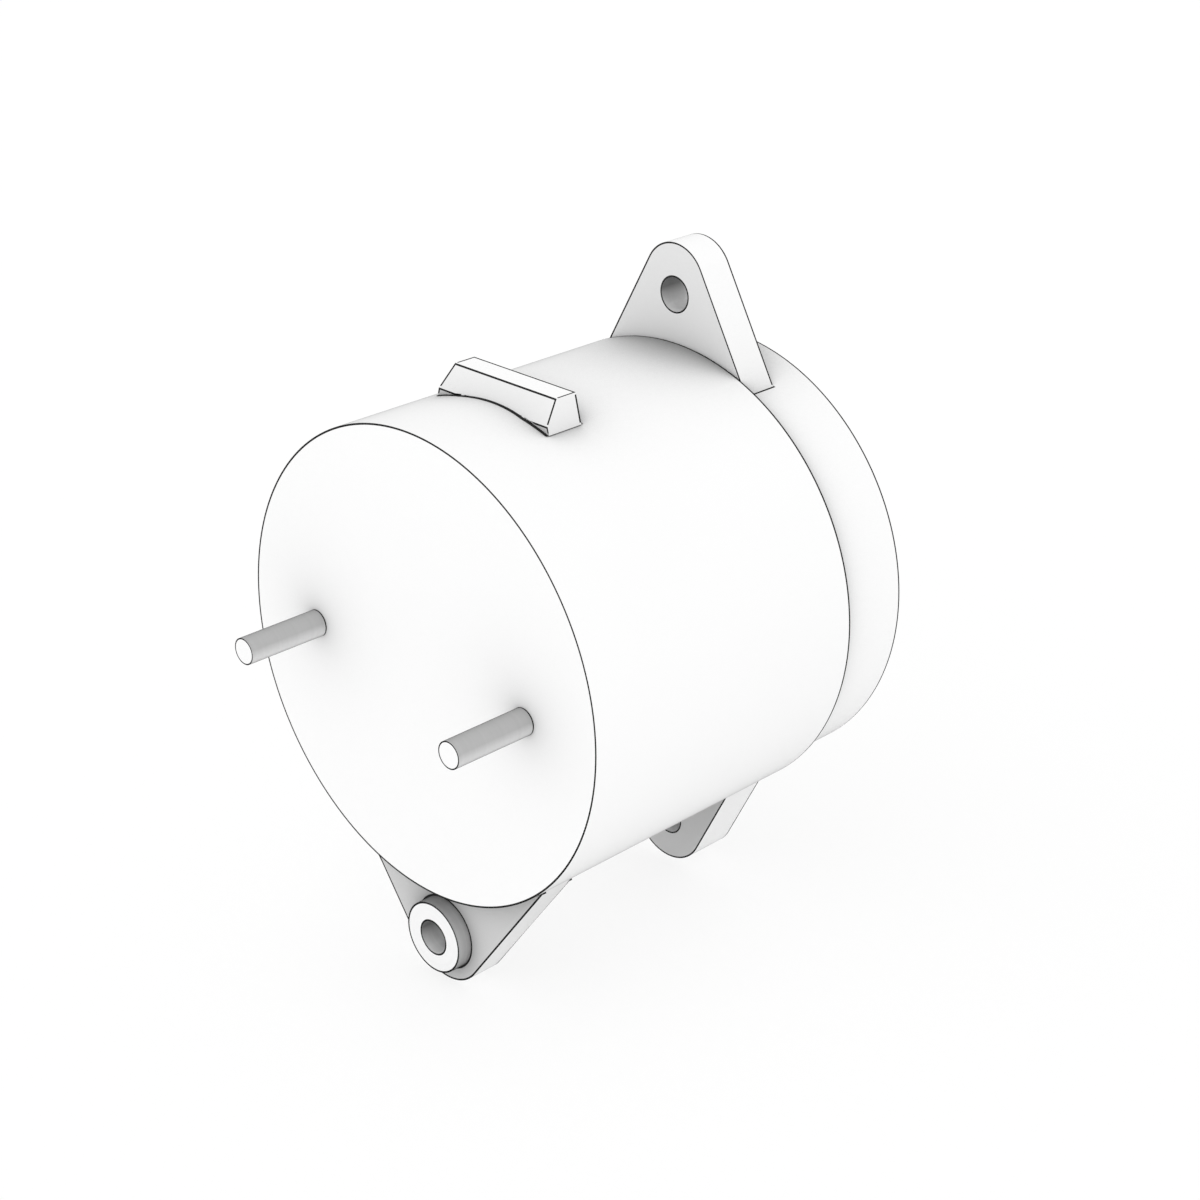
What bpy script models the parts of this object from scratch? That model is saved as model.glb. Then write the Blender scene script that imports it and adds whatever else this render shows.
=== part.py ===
"""A belt-driven alternator with a closed rear housing and a lugged drive-end bracket.

Units are metres and +Z is up. The rotor turns about the Y axis. The flat rear face lies at y = 0,
the terminal studs point along -Y and the pulley is at the +Y end.
"""

import math

import bmesh
import bpy
from mathutils import Matrix

# Clearances
GAP = 0.0003
AIR_GAP = 0.0007
BALL_GAP = 0.0004
SHAFT_HOLE_CLEARANCE = 0.0010
FAN_CLEARANCE = 0.0025

# Rear housing
HOUSING_RADIUS = 0.0700
HOUSING_LENGTH = 0.1014
END_WALL = 0.0040
STATOR_WALL = 0.0057
CHAMBER_WALL = 0.0076
EDGE_BREAK = 0.0004
BEARING_BOSS_WALL = 0.0052

# Lugs and feet
LUG_ROOT_DEPTH = 0.0020

# Rear foot and its sliding bush
FOOT_BOLT_OFFSET = 0.0177
REAR_FOOT_Y = 0.0075
REAR_FOOT_THICKNESS = 0.0099
REAR_FOOT_TIP_RADIUS = 0.0154
REAR_FOOT_ROOT_ANGLE = math.radians(45.0)
BUSH_RADIUS = 0.0111
BUSH_PROUD = 0.0046
LUG_BOLT_RADIUS = 0.0051

# Drive-end bracket
BRACKET_STEP = 0.0029
BRACKET_LENGTH = 0.0253
BAND_WALL = 0.0051
FACE_WALL = 0.0045
SPIGOT_WALL = 0.0065
HUB_WALL = 0.0072
BEARING_LIP = 0.0064
BEARING_LIP_LAP = 0.0057
INNER_RACE_RELIEF = 0.0021
FRONT_FOOT_THICKNESS = 0.0152
FRONT_FOOT_TIP_RADIUS = 0.0140
FRONT_FOOT_ROOT_ANGLE = math.radians(29.17)
TOP_LUG_THICKNESS = 0.0115
TOP_LUG_TIP_RISE = 0.0181
TOP_LUG_TIP_RADIUS = 0.0116
TOP_LUG_ROOT_ANGLE = math.radians(27.54)
TOP_LUG_HOLE_RISE = 0.0143
WINDOW_COUNT = 14
WINDOW_MARGIN = 0.0035
SPOKE_WIDTH = 0.0062

# Through bolts
BOLT_COUNT = 4
BOLT_RADIUS = 0.0025
BOLT_HEAD_RADIUS = 0.00425
BOLT_HEAD_HEIGHT = 0.0048
BOLT_ENGAGEMENT = 0.0160
BOLT_SOCKET_WIDTH = 0.0040
BOLT_SOCKET_DEPTH = 0.0026

# Terminal studs and rectifier
STUD_RADIUS = 0.0040
STUD_REACH = 0.0264
STUD_HEAD_RADIUS = 0.0070
STUD_HEAD_HEIGHT = 0.0035
STUD_WASHER_RADIUS = 0.0085
STUD_WASHER_THICKNESS = 0.0030
HEAT_SINK_THICKNESS = 0.0030
HEAT_SINK_HALF_ANGLE = math.radians(66)
HEAT_SINK_MARGIN = 0.0025
DIODE_RADIUS = 0.0060
DIODE_HEIGHT = 0.0078
DIODE_LEAD_RADIUS = 0.0010
DIODE_LEAD_LENGTH = 0.0050
DIODE_ANGLES = (math.radians(-50), math.radians(-26), math.radians(26))

# Regulator
REGULATOR_WIDTH = 0.0260
REGULATOR_DEPTH = 0.0160
REGULATOR_HEIGHT = 0.0140
REGULATOR_CLEARANCE = 0.0034
REGULATOR_EDGE = 0.0013

# Stator
YOKE = 0.0075
SLOT_DEPTH = 0.0093
SLOT_WIDTH = 0.0044
SLOT_COUNT = 36
END_TURN_LENGTH = 0.0084
END_TURN_CORNER = 0.0026

# Rotor
POLE_COUNT = 12
CLAW_OVERHANG = 0.0070
POLE_DISC_RELIEF = 0.00075
CLAW_TIP_THICKNESS = 0.0035
CLAW_ROOT_THICKNESS = 0.0100
CLAW_ROOT_HALF_ANGLE = math.radians(13.5)
CLAW_TIP_HALF_ANGLE = math.radians(5.5)
CLAW_CHAMFER = 0.0020
CLAW_SETBACK = 0.0020
POLE_HUB_RELIEF = 0.00285
BOBBIN_WALL = 0.0012
COIL_CROWN = 0.0008

# Rotor shaft
ROTOR_SEAT_STEP = 0.0010
RING_SEAT_STEP = 0.0007
THREAD_STEP = 0.0005
SHAFT_END_RELIEF = 0.0018
SHAFT_SOCKET_WIDTH = 0.0080
SHAFT_SOCKET_DEPTH = 0.0070

# Slip rings and brushes
SLIP_RING_RADIUS = 0.0160
SLIP_RING_THICKNESS = 0.0027
SLIP_RING_WIDTH = 0.0060
SLIP_RING_PITCH = 0.0076
BEARING_TO_RINGS = 0.0120
RING_TO_ROTOR = 0.0030
BRUSH_LENGTH = 0.0170
BRUSH_THICKNESS = 0.0050
BRUSH_WIDTH = 0.0064
HOLDER_WALL = 0.0011
HOLDER_SIDE_WALL = 0.0030
HOLDER_ROOF = 0.0060
HOLDER_CLEARANCE = 0.0044
HOLDER_LIFT = 0.0022
NECK_WIDTH = 0.0200
SPRING_RADIUS = 0.0019
SPRING_WIRE_RADIUS = 0.00035
SPRING_TURNS = 4

# Brush cover on top of the housing
COVER_DEPTH = 0.0120
COVER_RISE = 0.0053
COVER_TOP_WIDTH = 0.0402
COVER_END_SLOPE = 0.247
COVER_FRONT_DROP = 0.0063
COVER_TOP_SETBACK = 0.0049
COVER_RIM = 0.0010

# Ball bearings, catalogue sizes 6202 and 6303
REAR_BEARING_BORE = 0.0150
REAR_BEARING_OUTSIDE = 0.0350
REAR_BEARING_WIDTH = 0.0110
REAR_BALL_RADIUS = 0.0029
FRONT_BEARING_BORE = 0.0170
FRONT_BEARING_OUTSIDE = 0.0470
FRONT_BEARING_WIDTH = 0.0140
FRONT_BALL_RADIUS = 0.0039
BALL_COUNT = 7

# Bearing sections, as shares of the ball's radius
RACE_LAND = 0.76
RACE_MOUTH = 0.83
RACE_FLOOR = 0.35
CAGE_STRIP = 0.20
CAGE_HALF_WIDTH = 0.50

# Bearing retainer
RETAINER_THICKNESS = 0.0022
RETAINER_LAP = 0.0030
RETAINER_SCREW_COUNT = 3
RETAINER_SCREW_RADIUS = 0.0018
RETAINER_SCREW_HEAD_RADIUS = 0.0031
RETAINER_SCREW_HEAD_HEIGHT = 0.0022
RETAINER_SCREW_LENGTH = 0.0080

# Fan, pulley and their fixings
SPACER_RADIUS = 0.0120
COLLAR_RADIUS = 0.0130
COLLAR_LENGTH = 0.0116
FAN_INSET = 0.0161
FAN_SHEET = 0.0016
FAN_BLADE_COUNT = 12
FAN_BLADE_HEIGHT = 0.0085
FAN_BLADE_LENGTH = 0.0150
FAN_BLADE_SWEEP = math.radians(35)
FAN_BLADE_CURL = math.radians(24)
FAN_NOTCH_RADIUS = 0.0042
PULLEY_RADIUS = 0.0330
PULLEY_WIDTH = 0.0170
PULLEY_GROOVE_RADIUS = 0.0240
PULLEY_GROOVE_WIDTH = 0.0110
PULLEY_GROOVE_FLOOR = 0.0044
PULLEY_RIM_CHAMFER = 0.0010
PULLEY_HUB_RADIUS = 0.0140
PULLEY_RIM_WALL = 0.0040
PULLEY_DISH_DEPTH = 0.0090
KEY_WIDTH = 0.0030
KEY_DEPTH = 0.0018
KEY_LENGTH = 0.0120
WASHER_RADIUS = 0.0125
WASHER_THICKNESS = 0.0025
NUT_ACROSS_FLATS = 0.0240
NUT_HEIGHT = 0.0075
NUT_STAND_OUT = 0.0016

# Sides given to round pieces, and steps given to arcs
HOUSING_SIDES = 60
LARGE_SIDES = 36
MEDIUM_SIDES = 28
SMALL_SIDES = 20
TINY_SIDES = 10
SPRING_SIDES = 8
BALL_SIDES = 6
BALL_RINGS = 5
LONG_ARC_STEPS = 14
MIDDLE_ARC_STEPS = 10
SHORT_ARC_STEPS = 6
WINDOW_OUTER_STEPS = 3
WINDOW_INNER_STEPS = 2
BLADE_STEPS = 5

# Shading and welding
SHARP_ANGLE = math.radians(28)
WELD_DISTANCE = 0.000001
SEAM_WELD_DISTANCE = 0.00001

# Radii that follow from the sizes above
BRACKET_RADIUS = HOUSING_RADIUS - BRACKET_STEP
STATOR_RADIUS = HOUSING_RADIUS - STATOR_WALL - GAP
CHAMBER_RADIUS = HOUSING_RADIUS - CHAMBER_WALL
SLOT_RADIUS = STATOR_RADIUS - YOKE
STATOR_BORE = SLOT_RADIUS - SLOT_DEPTH
ROTOR_RADIUS = STATOR_BORE - AIR_GAP
CLAW_INNER_RADIUS = ROTOR_RADIUS - CLAW_ROOT_THICKNESS
BOLT_CIRCLE = STATOR_RADIUS - BOLT_RADIUS
BOLT_BOSS_RADIUS = YOKE - BOLT_RADIUS - GAP
REAR_JOURNAL_RADIUS = REAR_BEARING_BORE / 2 - GAP
FRONT_JOURNAL_RADIUS = FRONT_BEARING_BORE / 2 - GAP
ROTOR_SEAT_RADIUS = FRONT_JOURNAL_RADIUS + ROTOR_SEAT_STEP
POLE_HUB_RADIUS = (ROTOR_SEAT_RADIUS + CLAW_INNER_RADIUS) / 2 - POLE_HUB_RELIEF
RING_SEAT_RADIUS = REAR_JOURNAL_RADIUS + RING_SEAT_STEP
THREAD_RADIUS = FRONT_JOURNAL_RADIUS - THREAD_STEP
BEARING_BOSS_RADIUS = REAR_BEARING_OUTSIDE / 2 + GAP + BEARING_BOSS_WALL
HUB_RADIUS = FRONT_BEARING_OUTSIDE / 2 + GAP + HUB_WALL
FAN_RADIUS = BRACKET_RADIUS - FAN_INSET
PULLEY_DISH_RADIUS = PULLEY_GROOVE_RADIUS - PULLEY_RIM_WALL

# Distances from the rotor axis
FOOT_DROP = HOUSING_RADIUS + FOOT_BOLT_OFFSET
TOP_LUG_TIP_HEIGHT = HOUSING_RADIUS + TOP_LUG_TIP_RISE
TOP_LUG_HOLE_HEIGHT = HOUSING_RADIUS + TOP_LUG_HOLE_RISE
STUD_OFFSET = (BEARING_BOSS_RADIUS + CHAMBER_RADIUS) / 2

# Places along the rotor axis: the rear bearing, slip rings and brushes from the rear wall
REAR_BEARING_Y = END_WALL + 2 * GAP
REAR_BEARING_END_Y = REAR_BEARING_Y + REAR_BEARING_WIDTH
RING_HUB_LENGTH = SLIP_RING_PITCH + SLIP_RING_WIDTH + 2 * (SLIP_RING_PITCH - SLIP_RING_WIDTH)
RING_HUB_Y = REAR_BEARING_END_Y + BEARING_TO_RINGS
BRUSH_Y = RING_HUB_Y + RING_HUB_LENGTH / 2
COVER_Y = BRUSH_Y - COVER_DEPTH / 2
HOLDER_HALF_DEPTH = SLIP_RING_PITCH / 2 + BRUSH_THICKNESS / 2 + GAP + HOLDER_WALL

# The front bearing and drive from the bracket's face
FACE_Y = HOUSING_LENGTH + BRACKET_LENGTH
FRONT_BEARING_END_Y = FACE_Y - BEARING_LIP - GAP
FRONT_BEARING_Y = FRONT_BEARING_END_Y - FRONT_BEARING_WIDTH
FAN_BLADE_Y = FACE_Y + FAN_CLEARANCE
FAN_Y = FAN_BLADE_Y + FAN_BLADE_HEIGHT
PULLEY_Y = FAN_Y + FAN_SHEET + GAP
PULLEY_END_Y = PULLEY_Y + PULLEY_WIDTH
WASHER_Y = PULLEY_END_Y + GAP
NUT_Y = WASHER_Y + WASHER_THICKNESS + GAP
SHAFT_END_Y = NUT_Y + NUT_HEIGHT + NUT_STAND_OUT

# The rotor and stator between them
ROTOR_Y = RING_HUB_Y + RING_HUB_LENGTH + RING_TO_ROTOR
ROTOR_END_Y = FRONT_BEARING_Y - COLLAR_LENGTH
ROTOR_LENGTH = ROTOR_END_Y - ROTOR_Y
POLE_DISC = ROTOR_LENGTH / 4 - POLE_DISC_RELIEF
STATOR_Y = ROTOR_Y + CLAW_OVERHANG
STATOR_END_Y = ROTOR_END_Y - CLAW_OVERHANG
STATOR_CENTRE_Y = (STATOR_Y + STATOR_END_Y) / 2

# Colours: red, green, blue, roughness, metallic
PAINT = (0.86, 0.86, 0.86, 0.55, 0.0)
CASTING = (0.78, 0.78, 0.79, 0.50, 0.3)
STEEL = (0.62, 0.62, 0.63, 0.35, 1.0)
DARK_STEEL = (0.30, 0.30, 0.31, 0.45, 1.0)
ELECTRICAL_STEEL = (0.40, 0.41, 0.43, 0.50, 0.9)
ALUMINIUM = (0.75, 0.76, 0.77, 0.40, 1.0)
COPPER = (0.72, 0.36, 0.18, 0.40, 0.8)
CARBON = (0.08, 0.08, 0.08, 0.80, 0.2)
PLASTIC = (0.05, 0.05, 0.05, 0.50, 0.0)
NATURAL_PLASTIC = (0.62, 0.52, 0.34, 0.55, 0.0)


def new_collection(name):
    collection = bpy.data.collections.new(name)
    bpy.context.scene.collection.children.link(collection)
    return collection


def clear_objects():
    for obj in list(bpy.data.objects):
        bpy.data.objects.remove(obj, do_unlink=True)


clear_objects()
PARTS = new_collection("alternator")
CUTTERS = new_collection("cutters")


# Points and outlines


def polar(radius, angle):
    return (radius * math.cos(angle), radius * math.sin(angle))


def arc(centre, radius, start, end, steps):
    """Points along an arc, with both of its ends."""
    points = []
    for step in range(steps + 1):
        x, z = polar(radius, start + (end - start) * step / steps)
        points.append((centre[0] + x, centre[1] + z))
    return points


def circle(centre, radius, sides):
    return arc(centre, radius, 0, math.tau, sides)[:-1]


def hexagon(centre, across_flats):
    return circle(centre, across_flats / 2 / math.cos(math.pi / 6), 6)


def lug_outline(height, tip_radius, root_angle, root_radius, side):
    """A lug: a round tip with straight flanks, which meet the root circle root_angle from its middle."""
    across = root_radius * math.sin(root_angle)
    below = root_radius * math.cos(root_angle) - height
    lean = math.atan2(below, across) + math.acos(tip_radius / math.hypot(across, below))
    tip = arc((0, height), tip_radius, lean, math.pi - lean, LONG_ARC_STEPS)
    middle = math.pi / 2
    root = arc((0, 0), root_radius, middle + root_angle, middle - root_angle, MIDDLE_ARC_STEPS)
    return [(x, side * z) for x, z in tip + root]


# Meshes


def mesh_of(bm, name):
    mesh = bpy.data.meshes.new(name)
    bm.to_mesh(mesh)
    bm.free()
    return mesh


def add_cylinder(bm, radius, start, end, x, z, sides=TINY_SIDES):
    """A cylinder along Y between two places on the rotor axis."""
    place = Matrix.Translation((x, (start + end) / 2, z)) @ Matrix.Rotation(math.radians(-90), 4, "X")
    bmesh.ops.create_cone(
        bm, cap_ends=True, segments=sides, radius1=radius, radius2=radius, depth=end - start, matrix=place
    )


def add_box(bm, low, high, turn=None):
    """A box between two corners, turned about the rotor axis if an angle is given."""
    size = [b - a for a, b in zip(low, high)]
    centre = [(a + b) / 2 for a, b in zip(low, high)]
    place = Matrix.Translation(centre) @ Matrix.Diagonal((*size, 1))
    if turn is not None:
        place = Matrix.Rotation(-turn, 4, "Y") @ place
    return bmesh.ops.create_cube(bm, size=1, matrix=place)["verts"]


def plate_mesh(name, outlines, start, end):
    """Flat outlines in the X-Z plane, given thickness along Y; an inner outline is a hole."""
    curve = bpy.data.curves.new(name, "CURVE")
    curve.dimensions = "2D"
    curve.fill_mode = "BOTH"
    curve.extrude = (end - start) / 2
    for outline in outlines:
        spline = curve.splines.new("POLY")
        spline.points.add(len(outline) - 1)
        for point, (x, z) in zip(spline.points, outline):
            point.co = (x, z, 0, 1)
        spline.use_cyclic_u = True
    guide = bpy.data.objects.new(name, curve)
    CUTTERS.objects.link(guide)
    bpy.context.view_layer.update()
    evaluated = guide.evaluated_get(bpy.context.evaluated_depsgraph_get())
    mesh = bpy.data.meshes.new_from_object(evaluated)
    bpy.data.objects.remove(guide)
    bm = bmesh.new()
    bm.from_mesh(mesh)
    bmesh.ops.remove_doubles(bm, verts=bm.verts, dist=WELD_DISTANCE)
    bmesh.ops.recalc_face_normals(bm, faces=bm.faces)
    bm.to_mesh(mesh)
    bm.free()
    mesh.transform(Matrix.Translation((0, (start + end) / 2, 0)) @ Matrix.Rotation(math.radians(90), 4, "X"))
    return mesh


# Objects


def finish_material(name, colour):
    material = bpy.data.materials.new(name)
    material.use_nodes = True
    shader = material.node_tree.nodes["Principled BSDF"]
    shader.inputs["Base Color"].default_value = (*colour[:3], 1)
    shader.inputs["Roughness"].default_value = colour[3]
    shader.inputs["Metallic"].default_value = colour[4]
    return material


def carrier(name, x, y, z):
    """An empty on a joint's axis, which carries the pieces of one moving body."""
    empty = bpy.data.objects.new(name, None)
    empty.location = (x, y, z)
    PARTS.objects.link(empty)
    return empty


def part(name, mesh, colour, parent=None):
    obj = bpy.data.objects.new(name, mesh)
    mesh.materials.clear()
    mesh.materials.append(finish_material(name, colour))
    PARTS.objects.link(obj)
    if parent is not None:
        obj.parent = parent
        obj.matrix_parent_inverse = Matrix.Translation(parent.location).inverted()
    return obj


def cutter(name, mesh):
    obj = bpy.data.objects.new(name, mesh)
    obj.hide_render = True
    obj.display_type = "WIRE"
    CUTTERS.objects.link(obj)
    return obj


def profile_area(profile):
    """Twice the signed area of a profile, to tell which way it runs."""
    total = 0.0
    for (r0, y0), (r1, y1) in zip(profile, profile[1:] + profile[:1]):
        total += r0 * y1 - r1 * y0
    return total


def turned(name, profile, colour, parent=None, sides=SMALL_SIDES, x=0.0, z=0.0):
    """A profile of (radius, place along Y) turned about an axis along Y through (x, z)."""
    if profile_area(profile) > 0:
        profile = profile[::-1]
    on_axis = [index for index, (radius, _) in enumerate(profile) if radius == 0]
    if on_axis:
        first = next(i for i in on_axis if (i + 1) % len(profile) not in on_axis)
        profile = profile[first:] + profile[:first]
    base = min(y for _, y in profile)
    bm = bmesh.new()
    verts = [bm.verts.new((radius, 0, y - base)) for radius, y in profile]
    for start, end in zip(verts, verts[1:]):
        bm.edges.new((start, end))
    if not on_axis:
        bm.edges.new((verts[-1], verts[0]))
    obj = part(name, mesh_of(bm, name), colour, parent)
    obj.location = (x, base, z)
    obj.rotation_euler = (math.radians(-90), 0, 0)
    screw = obj.modifiers.new("Turn", "SCREW")
    screw.axis = "Z"
    screw.steps = sides
    screw.render_steps = sides
    screw.use_merge_vertices = True
    screw.merge_threshold = SEAM_WELD_DISTANCE
    return obj


def combine(obj, operation, tool):
    modifier = obj.modifiers.new(tool.name, "BOOLEAN")
    modifier.operation = operation
    modifier.solver = "EXACT"
    modifier.object = tool
    return obj


def cut(obj, name, mesh):
    return combine(obj, "DIFFERENCE", cutter(name, mesh))


def join(obj, name, mesh):
    return combine(obj, "UNION", cutter(name, mesh))


def turned_tool(name, profile, sides=SMALL_SIDES):
    """A turned shape to cut or join with, kept with the cutters."""
    obj = turned(name, profile, STEEL, sides=sides)
    PARTS.objects.unlink(obj)
    CUTTERS.objects.link(obj)
    obj.hide_render = True
    obj.display_type = "WIRE"
    return obj


def settle(obj):
    """Keep the shape that the modifiers give, shaded smooth with its real corners sharp."""
    evaluated = obj.evaluated_get(bpy.context.evaluated_depsgraph_get())
    mesh = bpy.data.meshes.new_from_object(evaluated)
    mesh.name = obj.name
    mesh.shade_smooth()
    mesh.set_sharp_from_angle(angle=SHARP_ANGLE)
    obj.modifiers.clear()
    obj.data = mesh


def bolt_places():
    for index in range(BOLT_COUNT):
        yield polar(BOLT_CIRCLE, math.tau * (index + 0.5) / BOLT_COUNT)


# Housing castings


def make_rear_housing():
    """A deep cup with a plain closed end, the rear foot and the rear bearing seat."""
    pocket = REAR_BEARING_OUTSIDE / 2 + GAP
    pocket_floor = REAR_BEARING_Y - GAP
    shoulder = STATOR_Y - GAP
    rim = HOUSING_LENGTH - GAP
    relief = REAR_BEARING_BORE / 2 + 2 * REAR_BALL_RADIUS
    profile = [
        (0, 0),
        (HOUSING_RADIUS - EDGE_BREAK, 0),
        (HOUSING_RADIUS, EDGE_BREAK),
        (HOUSING_RADIUS, rim),
        (STATOR_RADIUS + GAP, rim),
        (STATOR_RADIUS + GAP, shoulder),
        (CHAMBER_RADIUS, shoulder),
        (CHAMBER_RADIUS, END_WALL),
        (BEARING_BOSS_RADIUS, END_WALL),
        (BEARING_BOSS_RADIUS, REAR_BEARING_END_Y),
        (pocket, REAR_BEARING_END_Y),
        (pocket, pocket_floor),
        (relief, pocket_floor),
        (relief, END_WALL - GAP),
        (0, END_WALL - GAP),
    ]
    housing = turned("rear_housing", profile, PAINT, sides=HOUSING_SIDES)

    root = HOUSING_RADIUS - LUG_ROOT_DEPTH
    outline = lug_outline(FOOT_DROP, REAR_FOOT_TIP_RADIUS, REAR_FOOT_ROOT_ANGLE, root, -1)
    foot = plate_mesh("rear_foot", [outline], REAR_FOOT_Y, REAR_FOOT_Y + REAR_FOOT_THICKNESS)
    join(housing, "rear_foot_shape", foot)

    bm = bmesh.new()
    for x, z in bolt_places():
        add_cylinder(bm, BOLT_BOSS_RADIUS, END_WALL / 2, shoulder, x, z)
    join(housing, "rear_bolt_bosses", mesh_of(bm, "rear_bolt_bosses"))

    bm = bmesh.new()
    for x, z in bolt_places():
        add_cylinder(bm, BOLT_RADIUS + GAP, shoulder - BOLT_ENGAGEMENT - 2 * GAP, shoulder + GAP, x, z)
    for side in (-1, 1):
        add_cylinder(bm, STUD_RADIUS + GAP, -END_WALL, 2 * END_WALL, side * STUD_OFFSET, 0, SMALL_SIDES)
    add_cylinder(
        bm,
        BUSH_RADIUS + GAP,
        REAR_FOOT_Y - REAR_FOOT_THICKNESS,
        REAR_FOOT_Y + 2 * REAR_FOOT_THICKNESS,
        0,
        -FOOT_DROP,
        MEDIUM_SIDES,
    )
    neck = neck_half_depth() + GAP
    add_box(
        bm,
        (-NECK_WIDTH / 2 - GAP, BRUSH_Y - neck, CHAMBER_RADIUS - CHAMBER_WALL),
        (NECK_WIDTH / 2 + GAP, BRUSH_Y + neck, HOUSING_RADIUS + CHAMBER_WALL),
    )
    cut(housing, "rear_housing_holes", mesh_of(bm, "rear_housing_holes"))
    return housing


def window_outlines():
    """Vent windows between the hub and the band of the drive-end face."""
    inner = HUB_RADIUS + WINDOW_MARGIN
    outer = BOLT_CIRCLE - BOLT_BOSS_RADIUS - WINDOW_MARGIN / 2
    outlines = []
    for index in range(WINDOW_COUNT):
        middle = math.tau * (index + 0.5) / WINDOW_COUNT
        pitch = math.pi / WINDOW_COUNT
        inner_half = pitch - math.asin(SPOKE_WIDTH / 2 / inner)
        outer_half = pitch - math.asin(SPOKE_WIDTH / 2 / outer)
        far = arc((0, 0), outer, middle - outer_half, middle + outer_half, WINDOW_OUTER_STEPS)
        near = arc((0, 0), inner, middle + inner_half, middle - inner_half, WINDOW_INNER_STEPS)
        outlines.append(far + near)
    return outlines


def make_drive_end_bracket():
    """The open bracket that carries the front bearing, the top lug and the front foot."""
    spigot = STATOR_RADIUS
    pocket = FRONT_BEARING_OUTSIDE / 2 + GAP
    spigot_bore = spigot - SPIGOT_WALL
    band_bore = BRACKET_RADIUS - BAND_WALL
    floor = FACE_Y - BEARING_LIP
    lip_bore = pocket - BEARING_LIP_LAP
    shaft_hole = SPACER_RADIUS + SHAFT_HOLE_CLEARANCE
    profile = [
        (spigot_bore, STATOR_END_Y + GAP),
        (spigot, STATOR_END_Y + GAP),
        (spigot, HOUSING_LENGTH),
        (BRACKET_RADIUS, HOUSING_LENGTH),
        (BRACKET_RADIUS, FACE_Y - EDGE_BREAK),
        (BRACKET_RADIUS - EDGE_BREAK, FACE_Y),
        (shaft_hole, FACE_Y),
        (shaft_hole, floor + INNER_RACE_RELIEF),
        (lip_bore, floor + INNER_RACE_RELIEF),
        (lip_bore, floor),
        (pocket, floor),
        (pocket, FRONT_BEARING_Y),
        (HUB_RADIUS, FRONT_BEARING_Y),
        (HUB_RADIUS, FACE_Y - FACE_WALL),
        (band_bore, FACE_Y - FACE_WALL),
        (band_bore, HOUSING_LENGTH + BAND_WALL),
        (spigot_bore, HOUSING_LENGTH),
    ]
    bracket = turned("drive_end_bracket", profile, CASTING, sides=HOUSING_SIDES)

    root = BRACKET_RADIUS - LUG_ROOT_DEPTH
    top = lug_outline(TOP_LUG_TIP_HEIGHT, TOP_LUG_TIP_RADIUS, TOP_LUG_ROOT_ANGLE, root, 1)
    lug = plate_mesh("top_lug", [top], HOUSING_LENGTH + GAP, HOUSING_LENGTH + TOP_LUG_THICKNESS)
    join(bracket, "top_lug_shape", lug)
    low = lug_outline(FOOT_DROP, FRONT_FOOT_TIP_RADIUS, FRONT_FOOT_ROOT_ANGLE, root, -1)
    foot = plate_mesh("front_foot", [low], HOUSING_LENGTH + GAP, HOUSING_LENGTH + FRONT_FOOT_THICKNESS)
    join(bracket, "front_foot_shape", foot)

    bm = bmesh.new()
    boss = min(BRACKET_RADIUS - BOLT_CIRCLE - GAP, BOLT_BOSS_RADIUS + EDGE_BREAK)
    for x, z in bolt_places():
        add_cylinder(bm, boss, HOUSING_LENGTH + GAP, FACE_Y - FACE_WALL / 2, x, z)
    join(bracket, "front_bolt_bosses", mesh_of(bm, "front_bolt_bosses"))

    bm = bmesh.new()
    for x, z in bolt_places():
        add_cylinder(bm, BOLT_RADIUS + GAP, STATOR_Y, FACE_Y + FACE_WALL, x, z)
    for height in (TOP_LUG_HOLE_HEIGHT, -FOOT_DROP):
        end = HOUSING_LENGTH + 2 * FRONT_FOOT_THICKNESS
        add_cylinder(bm, LUG_BOLT_RADIUS, HOUSING_LENGTH - FRONT_FOOT_THICKNESS, end, 0, height, MEDIUM_SIDES)
    cut(bracket, "bracket_holes", mesh_of(bm, "bracket_holes"))

    bm = bmesh.new()
    seat = FACE_Y - BOLT_HEAD_HEIGHT - 2 * GAP
    for x, z in bolt_places():
        add_cylinder(bm, BOLT_HEAD_RADIUS + GAP, seat, FACE_Y + FACE_WALL, x, z)
    cut(bracket, "bolt_head_seats", mesh_of(bm, "bolt_head_seats"))

    windows = plate_mesh("windows", window_outlines(), FACE_Y - 2 * FACE_WALL, FACE_Y + FACE_WALL)
    cut(bracket, "vent_windows", windows)
    return bracket


def make_through_bolts():
    """Cap screws that pull the bracket onto the rear housing, with the stator between."""
    seat = FACE_Y - BOLT_HEAD_HEIGHT - GAP
    tip = STATOR_Y - GAP - BOLT_ENGAGEMENT
    profile = [
        (0, tip),
        (BOLT_RADIUS, tip),
        (BOLT_RADIUS, seat),
        (BOLT_HEAD_RADIUS, seat),
        (BOLT_HEAD_RADIUS, seat + BOLT_HEAD_HEIGHT),
        (0, seat + BOLT_HEAD_HEIGHT),
    ]
    top = seat + BOLT_HEAD_HEIGHT
    for index, (x, z) in enumerate(bolt_places(), start=1):
        bolt = turned(f"through_bolt_{index}", profile, DARK_STEEL, sides=TINY_SIDES, x=x, z=z)
        socket = hexagon((x, z), BOLT_SOCKET_WIDTH)
        name = f"bolt_socket_{index}"
        cut(bolt, name, plate_mesh(name, [socket], top - BOLT_SOCKET_DEPTH, top + BOLT_SOCKET_DEPTH))


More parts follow.
